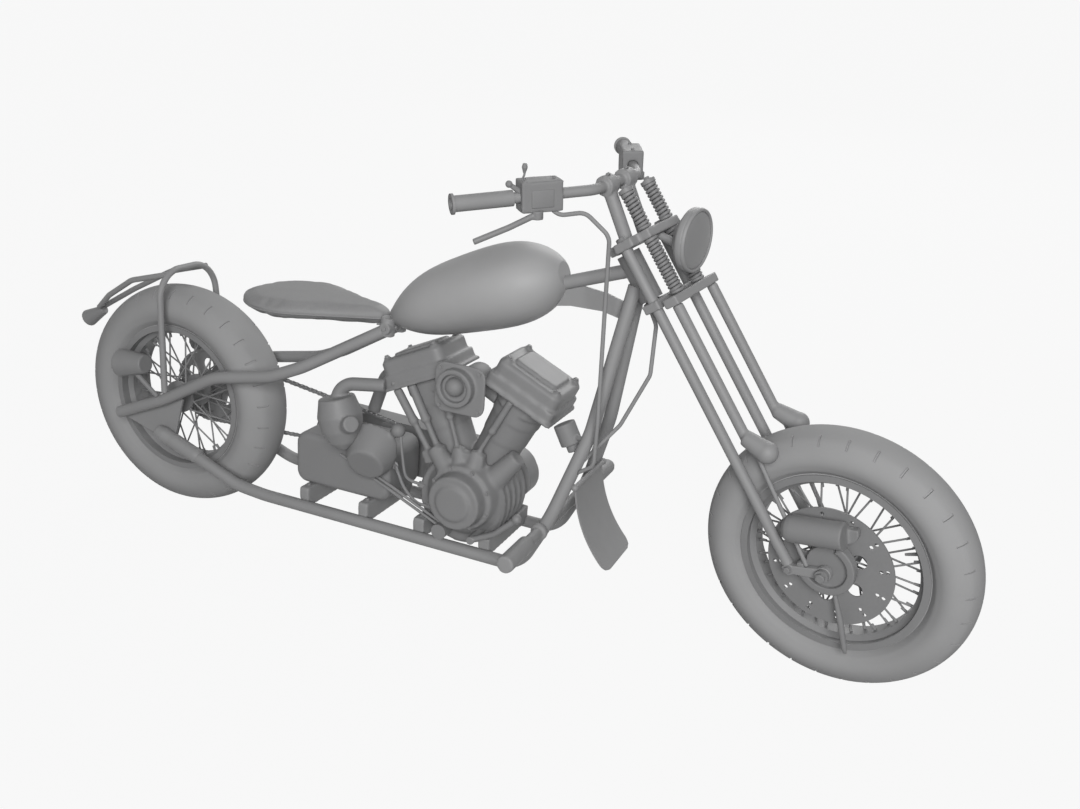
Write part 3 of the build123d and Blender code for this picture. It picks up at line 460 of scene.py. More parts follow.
class CHOPPER_OT_finishes(Operator):
    """Give every CAD node the finish of its material slot"""
    bl_idname = "chopper.finishes"
    bl_label = "Finishes"

    def execute(self, context):
        make_finishes(context.scene.chopper_finish)
        for name, node in frame["nodes"].items():
            node.data.materials.clear()
            node.data.materials.append(finish_of(SLOT_OF[name]))
        return {"FINISHED"}


class CastingSettings(PropertyGroup):
    fineness: FloatProperty(
        name="Casting grid", description="Coarseness of the castings' skins, 1 for the finished model",
        default=1.0, min=0.5, max=4.0)


# Each piece, its material slot, its grid, rounds of smoothing, and the nodes that it stands for.
CASTINGS = (
    ("engine_case", "cast_metal", 0.0036, 5, ("crankcase", "cam_cover", "tappet_blocks", "pushrod_tubes")),
    ("barrels_and_heads", "cast_metal", 0.0042, 2, ("cylinders", "cylinder_heads")),
    ("rocker_covers", "bright_metal", 0.0038, 2, ("rocker_boxes",)),
    ("gearbox_case", "cast_metal", 0.0042, 4, ("gearbox", "gearbox_cover")),
    ("carburettor_body", "cast_metal", 0.0026, 3, ("carburettor",)),
    ("rear_exhaust_can", "steel", 0.0031, 3, ("rear_exhaust",)),
    ("left_exhaust_pipe", "steel", 0.0024, 3, ("left_exhaust",)),
    ("canister_shell", "cast_metal", 0.0018, 4, ("canister",)),
    ("mount_bars", "frame_paint", 0.0043, 2, ("engine_mounts",)),
    ("peg_bars", "frame_paint", 0.0032, 5, ("peg_bar",)),
    ("tail_lamp_shell", "lamp_plastic", 0.0016, 5, ("tail_lamp",)),
    ("turn_lamp_shells", "lamp_plastic", 0.0025, 4, ("turn_lamps",)),
    ("foot_lever_arm", "steel", 0.0016, 4, ("foot_lever",)),
    ("lower_yoke_forging", "fork_metal", 0.0029, 3, ("lower_yoke",)),
    ("top_yoke_forging", "fork_metal", 0.0029, 3, ("top_yoke",)),
    ("spring_bridge_forging", "fork_metal", 0.0022, 5, ("spring_bridge",)),
    ("spring_leg_forgings", "fork_metal", 0.0030, 5, ("spring_legs",)),
    ("rocker_links", "fork_metal", 0.0018, 3, ("rockers",)),
    ("bars_and_clamps", "fork_metal", 0.0028, 3, ("handlebar",)),
    ("control_boxes", "cast_metal", 0.0028, 5, ("bar_controls",)),
    ("hand_levers", "bright_metal", 0.0016, 4, ("bar_levers",)),
    ("headlight_bucket", "fork_metal", 0.0029, 5, ("headlight",)),
)


def shaped_mesh(piece):
    """The piece's mesh with its modifiers applied."""
    graph = bpy.context.evaluated_depsgraph_get()
    graph.update()
    return bpy.data.meshes.new_from_object(piece.evaluated_get(graph))


def node_mesh(*nodes):
    """CAD nodes in one bmesh, their loose triangles joined."""
    bm = bmesh.new()
    for node in nodes:
        bm.from_mesh(frame["nodes"][node].data)
    bmesh.ops.remove_doubles(bm, verts=bm.verts, dist=1e-6)
    return bm


def smooth(bm, rounds):
    for _ in range(rounds):
        bmesh.ops.smooth_vert(bm, verts=bm.verts, factor=0.5, use_axis_x=True, use_axis_y=True,
                              use_axis_z=True)


def skinned(bm, voxel, rounds=0):
    """One closed skin over the bmesh's solids, on an even grid, smoothed a number of times."""
    rough = new_object("rough", bm)
    remesh = rough.modifiers.new("voxels", "REMESH")
    remesh.mode = "VOXEL"
    remesh.voxel_size = voxel
    skin = bmesh.new()
    skin.from_mesh(shaped_mesh(rough))
    bpy.data.objects.remove(rough)
    smooth(skin, rounds)
    return skin


class CHOPPER_OT_castings(Operator):
    """Castings and forgings, their edges rounded and their ribs run together as poured metal does"""
    bl_idname = "chopper.castings"
    bl_label = "Castings"

    def execute(self, context):
        fineness = context.scene.chopper_casting.fineness
        for name, slot, voxel, rounds, nodes in CASTINGS:
            bm = node_mesh(*nodes)
            if name == "engine_case":
                self.add_cam_arms(bm)
            if name == "spring_leg_forgings":
                self.add_domes(bm)
            bm = skinned(bm, voxel * fineness, rounds)
            body = frame["nodes"][nodes[0]]["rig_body"]
            keep_piece(name, bm, body, slot, replaces=nodes, smooth_angle=80.0, parked=True)
        return {"FINISHED"}

    def add_domes(self, bm):
        """The round lower ends of the boots that cover the spring legs."""
        for side in (-1, 1):
            place = STEERED @ Matrix.Translation(at_fork(0.148, side * (LEG_Y + 0.006), -0.4855))
            bmesh.ops.create_uvsphere(bm, u_segments=32, v_segments=20, radius=0.0262, matrix=place)

    def add_cam_arms(self, bm):
        """The cam chest's arms, which run from its round face into the pushrod blocks and the case."""
        arms = bmesh.new()
        # Foot and head of each arm, with the radius at each
        for foot, head, low, high in (
                ((0.936, -0.092, 0.322), (0.878, -0.081, 0.378), 0.030, 0.021),
                ((0.962, -0.090, 0.340), (0.950, -0.081, 0.396), 0.022, 0.015),
                ((0.998, -0.090, 0.340), (1.003, -0.081, 0.396), 0.024, 0.015),
                ((1.030, -0.066, 0.300), (1.106, -0.052, 0.392), 0.036, 0.024)):
            run = Vector(head) - Vector(foot)
            add_cone(arms, foot, run, low, high, run.length, 32)
        middle = CAM_CENTRE * 0.6 + CRANK * 0.4
        add_cone(arms, middle + Vector((0.0, -0.066, 0.0)), (0, -1, 0), 0.118, 0.090, 0.036, 64)
        arms.transform(MACHINE)
        add_all(bm, arms)


class TyreSettings(PropertyGroup):
    slit_step: IntProperty(
        name="Slit spacing", description="Degrees from one cut in the shoulder to the next", default=12,
        min=4)
    slit_depth: FloatProperty(
        name="Slit depth", description="Depth of the cuts in the tread", unit="LENGTH", default=0.004,
        min=0.0)


def tyre_outline(radius, width, crown, bead, rim_half, flange=0.012, wall=0.012, ring=0.0016):
    """The tyre's section: tread, shoulder, sidewall with its ring, bead, and inside."""
    half = width / 2
    shoulder = 0.68 * half
    shoulder_r = radius - crown + sqrt(crown ** 2 - shoulder ** 2)
    lip = bead + flange + 0.002
    side = []
    for i in range(8):
        y = shoulder * i / 7
        side.append((y, radius - crown + sqrt(crown ** 2 - y ** 2)))
    wide_r = lip + 0.46 * (shoulder_r - lip)
    start, middle, end = Vector((shoulder, shoulder_r)), Vector((half, wide_r)), Vector((rim_half, lip))
    steps, ring_at = 16, (13, 14)
    for i in range(1, steps + 1):
        point = bend(start, middle, end, i / steps)
        side.append((point.x + (ring if i in ring_at else 0.0), point.y))
    side += [(rim_half, bead), (rim_half - wall, bead), (rim_half - wall, lip), (half - wall * 1.3, wide_r),
             (shoulder - wall, shoulder_r - wall)]
    return [(0.0, y, r) for y, r in side] + [(0.0, -y, r) for y, r in reversed(side[1:])]


class CHOPPER_OT_tyres(Operator):
    """Both tyres, with sparse cuts across their shoulders and a ring on each sidewall"""
    bl_idname = "chopper.tyres"
    bl_label = "Tyres"

    def execute(self, context):
        for side, sizes in TYRES.items():
            bm = bmesh.new()
            add_turned(bm, tyre_outline(*sizes), (0, 1, 0), TYRE_STEPS)
            self.cut_slits(bm, *sizes[:3], context.scene.chopper_tyre)
            keep_piece(side + "_tread", bm, side + "_wheel", "tyre", replaces=(side + "_tyre",))
        return {"FINISHED"}

    def cut_slits(self, bm, radius, width, crown, settings):
        """Narrow cuts across each shoulder, staggered from side to side."""
        chosen = []
        for face in bm.faces:
            middle = face.calc_center_median()
            if sqrt(middle.x ** 2 + middle.z ** 2) < radius - 0.5 * crown:
                continue
            turn = int((atan2(middle.z, middle.x) / (2 * pi) * TYRE_STEPS) % TYRE_STEPS)
            rank = abs(middle.y) / (width / 2)
            turn += 0 if middle.y > 0 else settings.slit_step // 2
            if turn % settings.slit_step == 0 and 0.44 < rank < 0.84:
                chosen.append(face)
        bmesh.ops.inset_region(bm, faces=chosen, thickness=0.0010, depth=-settings.slit_depth,
                               use_even_offset=True)


class CHOPPER_OT_wheel_trim(Operator):
    """Spoke nipples, valves and the rotor's bolts"""
    bl_idname = "chopper.wheel_trim"
    bl_label = "Wheel trim"

    def execute(self, context):
        nipple, stem, valve_turn = 0.015, 0.034, 0.4
        rotor_bolts, bolt_circle = 6, 0.038
        for side, (_, _, _, bead, _) in TYRES.items():
            bm = bmesh.new()
            well = bead - 0.0185
            for i in range(SPOKES):
                turn = 2 * pi * i / SPOKES
                outward = Vector((cos(turn), 0.0, sin(turn)))
                foot = outward * (well - nipple) + Vector((0.0, 0.006 if i % 2 else -0.006, 0.0))
                add_cone(bm, foot, outward, 0.0030, 0.0040, nipple, 8)
            valve = Vector((cos(valve_turn), 0.0, sin(valve_turn)))
            add_cone(bm, valve * (well - stem), valve, 0.0032, 0.0046, stem, 14)
            if side == "front":
                for i in range(rotor_bolts):
                    turn = 2 * pi * (i + 0.5) / rotor_bolts
                    foot = (bolt_circle * cos(turn), -0.0525, bolt_circle * sin(turn))
                    add_bolt(bm, foot, (0, -1, 0), 0.0048)
            keep_piece(side + "_nipples_and_valve", bm, side + "_wheel", "steel")
        return {"FINISHED"}


class SpringSettings(PropertyGroup):
    pitch: FloatProperty(
        name="Coil pitch", description="Distance from one turn of a fork spring to the next", unit="LENGTH",
        default=0.0088, min=0.006)
    wire: FloatProperty(
        name="Wire", description="Radius of the fork springs' wire", unit="LENGTH", default=0.0041,
        min=0.002)


class CHOPPER_OT_springs(Operator):
    """The four fork springs, each one wound wire with flat-ground ends"""
    bl_idname = "chopper.springs"
    bl_label = "Fork springs"

    def execute(self, context):
        settings = context.scene.chopper_spring
        outside, turn_steps = 0.0170, 18
        radius = outside - settings.wire
        bm = bmesh.new()
        for y in (-ROD_Y, ROD_Y):
            # The springs below and above the bridge, by their ends along the steering axis
            for low, high in ((-0.0767, 0.0617), (0.0843, 0.1757)):
                low, high = low + settings.wire, high - settings.wire
                turns = round((high - low) / settings.pitch) + 2
                steps = turns * turn_steps
                points = []
                for i in range(steps + 1):
                    turn = 2 * pi * i / turn_steps
                    rise = min(max((i - turn_steps) / (steps - 2 * turn_steps), 0.0), 1.0)
                    points.append(at_fork(ROD_AHEAD + radius * cos(turn), y + radius * sin(turn),
                                          low + (high - low) * rise))
                add_tube(bm, points, settings.wire, 8)
        keep_piece("wound_springs", bm, "fork", "steel", replaces=("fork_springs",), smooth_angle=60.0)
        return {"FINISHED"}


class CHOPPER_OT_bolts(Operator):
    """Bolt heads and nuts on the engine and the fork"""
    bl_idname = "chopper.bolts"
    bl_label = "Bolts and nuts"

    def execute(self, context):
        self.engine_bolts()
        self.fork_bolts()
        return {"FINISHED"}

    def engine_bolts(self):
        bm = bmesh.new()
        for lean in (-CYLINDER_LEAN, CYLINDER_LEAN):
            axis = at_cylinder(lean, 0, 0, 1) - CRANK
            for across in (-0.075, 0.075):
                for y in (-0.061, 0.061):
                    add_bolt(bm, at_cylinder(lean, across, y, 0.4155), axis, 0.0062)
        cam_bolts, bolt_circle = 8, 0.082
        for i in range(cam_bolts):
            turn = 2 * pi * (i + 0.5) / cam_bolts
            foot = CAM_CENTRE + Vector((bolt_circle * cos(turn), -0.1172, bolt_circle * sin(turn)))
            add_bolt(bm, foot, (0, -1, 0), 0.0054)
        for x in (-0.054, 0.054):
            for z in (-0.049, 0.049):
                add_bolt(bm, (0.968 + x, -0.1336, 0.570 + z), (0, -1, 0), 0.0055)
        for x, z in ((0.500, 0.187), (0.690, 0.187), (0.862, 0.185), (1.056, 0.180)):
            for y in (-0.100, 0.100):
                add_bolt(bm, (x, y, z - 0.0006), (0, 0, 1), 0.0065)
        keep_piece("engine_bolts", bm, "frame", "steel")

    def fork_bolts(self):
        bm = bmesh.new()
        add_bolt(bm, at_fork(0.0, 0.0, 0.0838), STEER_AXIS, 0.0150)
        for side in (-1, 1):
            outward = Vector((0.0, side, 0.0))
            add_cone(bm, at_fork(0.058, side * LEG_Y, 0.0838), STEER_AXIS, 0.0120, 0.0075, 0.0080, 24)
            add_bolt(bm, at_fork(ROD_AHEAD, side * ROD_Y, 0.1848), STEER_AXIS, 0.0085)
            add_bolt(bm, at_fork(0.054, side * (LEG_Y + 0.0078), -0.763), outward, 0.0090)
            add_bolt(bm, FRONT_AXLE + outward * (LEG_Y + 0.0198), outward, 0.0120)
            for ahead in (0.049, 0.077):
                add_bolt(bm, at_fork(ahead, side * 0.040, 0.2325), STEER_AXIS, 0.0052)
        keep_piece("fork_bolts", bm, "fork", "steel")


class CHOPPER_OT_brake(Operator):
    """The front caliper's round body, the ring that carries it and the arm below"""
    bl_idname = "chopper.brake"
    bl_label = "Front brake"

    def execute(self, context):
        bm = node_mesh("brake_caliper")
        bm.transform(STEERED.inverted())
        self.cut_away(bm, (0, -0.0755, 0), (0, -1, 0))
        self.cut_away(bm, at_fork(0.174, 0.0, -0.686), AHEAD * 0.41 + STEER_AXIS * 0.912)
        back, front = at_fork(0.106, -0.0915, -0.666), at_fork(0.228, -0.0915, -0.721)
        run, radius, collar = (front - back).normalized(), 0.0325, 0.012
        add_cone(bm, back - run * 0.009, run, 0.021, radius - 0.002, 0.011, 40)
        add_cone(bm, back + run * 0.001, run, radius - 0.002, radius, collar, 40)
        add_cone(bm, back + run * collar, run, radius, radius, (front - back).length - collar, 40)
        self.add_carrier(bm)
        bm = skinned(bm, 0.0025, 2)
        keep_piece("caliper_and_carrier", bm, "fork", "cast_metal", replaces=("brake_caliper",),
                   smooth_angle=60.0)
        return {"FINISHED"}

    def cut_away(self, bm, point, normal):
        """Take off what lies beyond a plane and close the cut."""
        geometry = bm.verts[:] + bm.edges[:] + bm.faces[:]
        cut = bmesh.ops.bisect_plane(bm, geom=geometry, plane_co=point, plane_no=normal, clear_outer=True)
        rim = [item for item in cut["geom_cut"] if isinstance(item, bmesh.types.BMEdge)]
        bmesh.ops.triangle_fill(bm, edges=rim, use_beauty=True)

    def add_carrier(self, bm):
        """A C-shaped ring round the hub, open towards the leg, with a tapered arm that hangs from it."""
        ring = bmesh.new()
        corners = [ring.verts.new((r, y, 0.0)) for r, y in
                   ((0.050, -0.062), (0.068, -0.062), (0.068, -0.088), (0.050, -0.088))]
        face = ring.faces.new(corners)
        bmesh.ops.rotate(ring, verts=ring.verts, cent=(0, 0, 0),
                         matrix=Matrix.Rotation(radians(-72), 3, "Y"))
        bmesh.ops.spin(ring, geom=corners + face.edges[:] + [face], cent=(0, 0, 0), axis=(0, 1, 0),
                       angle=radians(245), steps=60)
        bmesh.ops.recalc_face_normals(ring, faces=ring.faces)
        add_cone(ring, (0.0, -0.065, 0.0), (0, -1, 0), 0.052, 0.050, 0.010, 48)
        ring.transform(Matrix.Translation(FRONT_AXLE + AHEAD * 0.008 + STEER_AXIS * 0.010))
        for foot, head, low, high in (((0.128, -0.846), (0.104, -0.925), 0.0050, 0.0078),
                                      ((0.104, -0.925), (0.080, -0.992), 0.0078, 0.0066),
                                      ((0.080, -0.992), (0.076, -1.004), 0.0066, 0.0030)):
            foot, head = at_fork(foot[0], -0.074, foot[1]), at_fork(head[0], -0.074, head[1])
            add_cone(ring, foot, head - foot, low, high, (head - foot).length, 24)
        add_all(bm, ring)


class CHOPPER_OT_lamp(Operator):
    """The headlight's domed lens and the ring that holds it"""
    bl_idname = "chopper.lamp"
    bl_label = "Headlight lens"

    def execute(self, context):
        facing_ahead = Vector((0, 0, 1)).rotation_difference(Vector((1, 0, 0)))
        place = Matrix.Translation(at_fork(0.178, 0.0, 0.008)) @ facing_ahead.to_matrix().to_4x4()
        radius, rim, bulge, arcs = 0.0665, 0.0022, 0.0100, 18
        dome = [(0.0, 0.0, rim + bulge)]
        for i in range(1, arcs // 2 + 1):
            dome.append((radius * sin(i * pi / arcs), 0.0, rim + bulge * cos(i * pi / arcs)))
        dome += [(radius, 0.0, -0.0005), (0.0, 0.0, -0.0005)]
        section = [(r, 0.0, z) for r, z in ((0.0655, 0.0), (0.0650, 0.0042), (0.0668, 0.0068),
                                            (0.0700, 0.0074), (0.0722, 0.0060), (0.0736, 0.0028),
                                            (0.0738, 0.0))]
        for name, points, closed, slot, replaced in (
                ("domed_lens", dome, False, "lamp_glass", ("headlight_lens",)),
                ("lens_ring", section, True, "fork_metal", ())):
            bm = bmesh.new()
            add_turned(bm, points, (0, 0, 1), 72, closed)
            bm.transform(place)
            keep_piece(name, bm, "fork", slot, replaces=replaced, smooth_angle=50.0)
        return {"FINISHED"}


class CHOPPER_OT_cables(Operator):
    """The cable and the hose from the fork to the downtube, their long edges cut into shorter ones"""
    bl_idname = "chopper.cables"
    bl_label = "Cables"

    def execute(self, context):
        bm = node_mesh("control_cables")
        long_edge = 0.02
        edges = [edge for edge in bm.edges if edge.calc_length() > long_edge]
        bmesh.ops.subdivide_edges(bm, edges=edges, cuts=3)
        bmesh.ops.triangulate(bm, faces=bm.faces)
        cables = new_object("bending_cables", bm)
        cables.data.materials.append(finish_of("cable_rubber"))
        cables.data.shade_smooth()
        cables.data.set_sharp_from_angle(angle=radians(60))
        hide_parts("control_cables")
        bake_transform(cables)
        return {"FINISHED"}


class CHOPPER_OT_frame_trim(Operator):
    """Sleeves on the lower rails, the bracket under the seat's nose, and the engine's oil lines"""
    bl_idname = "chopper.frame_trim"
    bl_label = "Frame trim"

    def execute(self, context):
        bm = bmesh.new()
        for side in (-1, 1):
            low = Vector((0.140, side * RAIL_Y, 0.1945))
            high = Vector((-0.010, side * RAIL_Y, 0.2480))
            run, length = (high - low).normalized(), (high - low).length
            add_cone(bm, low, run, 0.0185, 0.0215, 0.012, 32)
            add_cone(bm, low + run * 0.011, run, 0.0215, 0.0225, length * 0.55, 32)
            add_cone(bm, low + run * length * 0.5, run, 0.0200, 0.0235, length * 0.35, 32)
            add_cone(bm, low + run * length * 0.82, run, 0.0235, 0.0190, length * 0.18, 32)
        bm = skinned(bm, 0.0030, 3)
        keep_piece("rail_sleeves", bm, "frame", "frame_paint", smooth_angle=70.0)

        bm = bmesh.new()
        for side in (-1, 1):
            add_cone(bm, (0.694, side * 0.030, 0.640), (0.12, 0, 1), 0.022, 0.019, 0.050, 32)
            add_cone(bm, (0.700, side * 0.012, 0.662), (0, side, 0), 0.019, 0.016, 0.040, 32)
        bm = skinned(bm, 0.0020, 4)
        for side in (-1, 1):
            add_bolt(bm, (0.700, side * 0.0505, 0.662), (0, side, 0), 0.0065)
        keep_piece("seat_bracket", bm, "frame", "frame_paint", smooth_angle=45.0)

        bm = bmesh.new()
        for points in (
                ((0.772, -0.076, 0.405), (0.790, -0.104, 0.395), (0.800, -0.108, 0.340),
                 (0.812, -0.104, 0.285), (0.846, -0.080, 0.262)),
                ((0.760, -0.080, 0.300), (0.782, -0.100, 0.292), (0.806, -0.102, 0.250),
                 (0.838, -0.092, 0.214), (0.868, -0.078, 0.205))):
            add_tube(bm, eased(points), 0.0042, 10)
            for end, inner in ((points[0], points[1]), (points[-1], points[-2])):
                run = Vector(inner) - Vector(end)
                add_cone(bm, Vector(end) - run.normalized() * 0.004, run, 0.0085, 0.0085, 0.014, 6)
        keep_piece("oil_lines", bm, "frame", "steel", smooth_angle=40.0)
        return {"FINISHED"}


def eased(points, steps=8):
    """Points of a smooth curve through given ones."""
    points = [Vector(point) for point in points]
    ends = [points[0] * 2 - points[1]] + points + [points[-1] * 2 - points[-2]]
    curve = []
    for i in range(1, len(ends) - 2):
        a, b, c, d = ends[i - 1:i + 3]
        for step in range(steps):
            t = step / steps
            curve.append((b * 2 + (c - a) * t + (a * 2 - b * 5 + c * 4 - d) * t ** 2
                          + (b * 3 - a - c * 3 + d) * t ** 3) / 2)
    return curve + [points[-1]]


class GuardSettings(PropertyGroup):
    corner: FloatProperty(
        name="Guard corner", description="Radius of the stone guard's lower corners", unit="LENGTH",
        default=0.028, min=0.0)


class CHOPPER_OT_guard(Operator):
    """The curved stone guard below the downtubes, with round lower corners, and the rod that it hangs on"""
    bl_idname = "chopper.guard"
    bl_label = "Stone guard"

    def execute(self, context):
        corner = context.scene.chopper_guard.corner
        half, thick, length = 0.095, 0.0042, 0.242
        top, middle, foot = Vector((1.285, 0, 0.366)), Vector((1.318, 0, 0.250)), Vector((1.388, 0, 0.156))
        bm = bmesh.new()
        bmesh.ops.create_grid(bm, x_segments=28, y_segments=40, size=0.5)
        for vert in bm.verts:
            across, t = vert.co.x * 2, 0.5 - vert.co.y
            over = max(length * t - (length - corner), 0.0)
            reach = half - corner + sqrt(max(corner ** 2 - over ** 2, 0.0)) if over else half
            vert.co = bend(top, middle, foot, t) + Vector((0.0, across * reach, 0.0))
        bmesh.ops.recalc_face_normals(bm, faces=bm.faces)
        bmesh.ops.solidify(bm, geom=bm.faces[:], thickness=thick)
        rod_x, rod_z, rod_end = 1.285, 0.368, 0.102
        add_cone(bm, (rod_x, -rod_end, rod_z), (0, 1, 0), 0.0065, 0.0065, 2 * rod_end, 20)
        for side in (-1, 1):
            ball = Matrix.Translation((rod_x, side * rod_end, rod_z))
            bmesh.ops.create_uvsphere(bm, u_segments=24, v_segments=16, radius=0.0092, matrix=ball)
            start = Vector((rod_x, side * 0.090, rod_z))
            run = Vector((rod_x - 0.021, side * 0.096, 0.360)) - start
            add_cone(bm, start, run, 0.006, 0.006, run.length, 16)
        keep_piece("rounded_guard", bm, "frame", "frame_paint", replaces=("stone_guard",), smooth_angle=50.0)
        return {"FINISHED"}


class CHOPPER_OT_primary(Operator):
    """The primary cover with its rounded corners, sunk panel and ring of screws"""
    bl_idname = "chopper.primary"
    bl_label = "Primary cover"

    def execute(self, context):
        outline = ((0.400, 0.190), (1.050, 0.190), (1.090, 0.250), (1.050, 0.330), (0.430, 0.350),
                   (0.370, 0.270))
        inside, depth = 0.108, 0.068
        bm = bmesh.new()
        verts = [bm.verts.new((x, inside, z)) for x, z in outline]
        bm.faces.new(verts)
        bmesh.ops.bevel(bm, geom=verts, offset=0.036, offset_type="OFFSET", segments=8, profile=0.5,
                        affect="VERTICES", material=-1)
        lid = raise_face(bm, bm.faces[:][0], depth)
        bmesh.ops.bevel(bm, geom=lid.edges[:], offset=0.009, offset_type="OFFSET", segments=4,
                        profile=0.5, affect="EDGES", material=-1)
        bmesh.ops.recalc_face_normals(bm, faces=bm.faces)
        lid = max(bm.faces, key=lambda item: item.calc_center_median().y)
        bmesh.ops.inset_region(bm, faces=[lid], thickness=0.022, depth=0.0)
        bmesh.ops.inset_region(bm, faces=[lid], thickness=0.004, depth=-0.003)
        corners = [Vector(corner) for corner in outline]
        middle = sum(corners, Vector((0.0, 0.0))) / len(corners)
        screw_step, screw_inset = 0.14, 0.021
        for start, end in zip(corners, corners[1:] + corners[:1]):
            count = max(round((end - start).length / screw_step), 1)
            for i in range(count):
                spot = start.lerp(end, (i + 0.5) / count)
                spot += (middle - spot).normalized() * screw_inset
                add_bolt(bm, (spot.x, inside + depth - 0.0002, spot.y), (0, 1, 0), 0.0050)
        add_cone(bm, (CRANK.x, 0.078, CRANK.z), (0, 1, 0), 0.060, 0.060, 0.031, 48)
        keep_piece("primary_casting", bm, "frame", "bright_metal", replaces=("primary_cover",),
                   smooth_angle=40.0)
        return {"FINISHED"}


class CHOPPER_OT_chain(Operator):
    """The drive chain as its links: rollers between pairs of side plates"""
    bl_idname = "chopper.chain"
    bl_label = "Drive chain"

    def execute(self, context):
        # Pitch radii of the wheel's sprocket and of the gearbox's, and where that one turns
        big, small = 0.1105, 0.0485
        drive = Vector((0.640, 0.300))
        run = drive - Vector((0.0, REAR_RADIUS))
        tilt = atan2(run.y, run.x)
        spread = acos((big - small) / run.length)
        path = []
        for centre, radius, first, sweep, steps in (
                (Vector((0.0, REAR_RADIUS)), big, tilt + spread, 2 * pi - 2 * spread, 72),
                (drive, small, tilt - spread, 2 * spread, 36)):
            for i in range(steps + 1):
                turn = first + sweep * i / steps
                path.append(centre + Vector((radius * cos(turn), radius * sin(turn))))
        links = 110
        pins = spaced(path, links)
        bm = bmesh.new()
        for i, pin in enumerate(pins):
            after = pins[(i + 1) % links]
            add_cone(bm, (pin.x, 0.0845, pin.y), (0, 1, 0), 0.0024, 0.0024, 0.0150, 8)
            add_cone(bm, (pin.x, 0.0880, pin.y), (0, 1, 0), 0.0035, 0.0035, 0.0080, 10)
            for y in ((0.0850, 0.0976) if i % 2 else (0.0866, 0.0960)):
                add_link(bm, pin, after, y)
        keep_piece("chain_links", bm, "frame", "steel", replaces=("chain",), smooth_angle=40.0)
        return {"FINISHED"}


def spaced(path, count):
    """Points evenly spaced along a closed run of points."""
    loop = path + [path[0]]
    lengths = [(loop[i + 1] - loop[i]).length for i in range(len(path))]
    step = sum(lengths) / count
    points, at, i = [], 0.0, 0
    for number in range(count):
        goal = number * step
        while at + lengths[i] < goal:
            at += lengths[i]
            i += 1
        points.append(loop[i].lerp(loop[i + 1], (goal - at) / lengths[i]))
    return points


def add_link(bm, start, end, y):
    """A chain's side plate: a waisted bar with a round eye at each pin."""
    run, eye, waist, thick = end - start, 0.0042, 0.0031, 0.0014
    along, side = run.normalized(), Vector((-run.y, run.x)).normalized()
    outline = []
    for middle, first, neck in ((end, -90, waist), (start, 90, -waist)):
        for i in range(7):
            turn = radians(first + 30 * i)
            outline.append(middle + (along * cos(turn) + side * sin(turn)) * eye)
        outline.append((start + end) / 2 + side * neck)
    face = bm.faces.new([bm.verts.new((point.x, y, point.y)) for point in outline])
    raise_face(bm, face, thick)


class CHOPPER_OT_controls(Operator):
    """Small fittings on the right control box: the reservoir's stalk, a knob and the side panels"""
    bl_idname = "chopper.controls"
    bl_label = "Hand controls"

    def execute(self, context):
        middle = at_fork(0.063, 0.0, 0.214)
        end = at_fork(-0.1044, 0.361, 0.3234)
        out = (end - (middle + Vector((0, 0.092, 0)))).normalized()
        out_right = Vector((out.x, -out.y, out.z))
        box = end - out * 0.202
        box_right = Vector((box.x, -box.y, box.z + 0.002))
        bm = bmesh.new()
        foot = box_right + out_right * 0.043 + Vector((0.006, 0, 0.030))
        tip = foot + Vector((0.004, 0, 0.027))
        stalk = (foot, foot + Vector((0, 0, 0.010)), tip - Vector((0, 0, 0.008)), tip)
        add_tube(bm, eased(stalk), 0.0024, 10)
        add_cone(bm, tip - Vector((0, 0, 0.004)), (0.1, 0, 1), 0.0030, 0.0066, 0.012, 20)
        add_cone(bm, tip + Vector((0.001, 0, 0.008)), (0.1, 0, 1), 0.0066, 0.0048, 0.008, 20)
        knob = box_right + out_right * 0.047 + Vector((0.004, 0, 0.010))
        reach = out_right * 0.026 + Vector((0, 0, 0.020))
        add_cone(bm, knob, reach, 0.0070, 0.0048, reach.length, 20)
        bmesh.ops.create_uvsphere(bm, u_segments=20, v_segments=14, radius=0.0080,
                                  matrix=Matrix.Translation(knob + reach))
        for side in (-1, 1):
            centre = Vector((box.x, box.y * side, box.z + 0.002))
            along = Vector((out.x, out.y * side, 0.0)).normalized()
            across = Vector((-along.y, along.x, 0.0)) * side
            if across.x < 0:
                across = -across
            place = Matrix((along, Vector((0, 0, 1)), across)).transposed().to_4x4()
            place.translation = centre + across * 0.0256 + Vector((0, 0, -0.004))
            place = place @ Matrix.Diagonal((0.052, 0.040, 0.006, 1))
            panel = bmesh.ops.create_cube(bm, size=1.0, matrix=place)
            edges = {edge for vert in panel["verts"] for edge in vert.link_edges}
            bmesh.ops.bevel(bm, geom=list(edges), offset=0.0024, offset_type="OFFSET", segments=3,
                            profile=0.5, affect="EDGES", material=-1)
            for reach_x in (-0.034, 0.034):
                add_bolt(bm, centre + along * reach_x + Vector((0, 0, 0.0352)), (0, 0, 1), 0.0034)
        keep_piece("control_fittings", bm, "fork", "cast_metal", smooth_angle=40.0)
        return {"FINISHED"}


class SeatSettings(PropertyGroup):
    crown: FloatProperty(
        name="Crown", description="Height of the cushion's middle over its edge", unit="LENGTH",
        default=0.010, min=0.0)


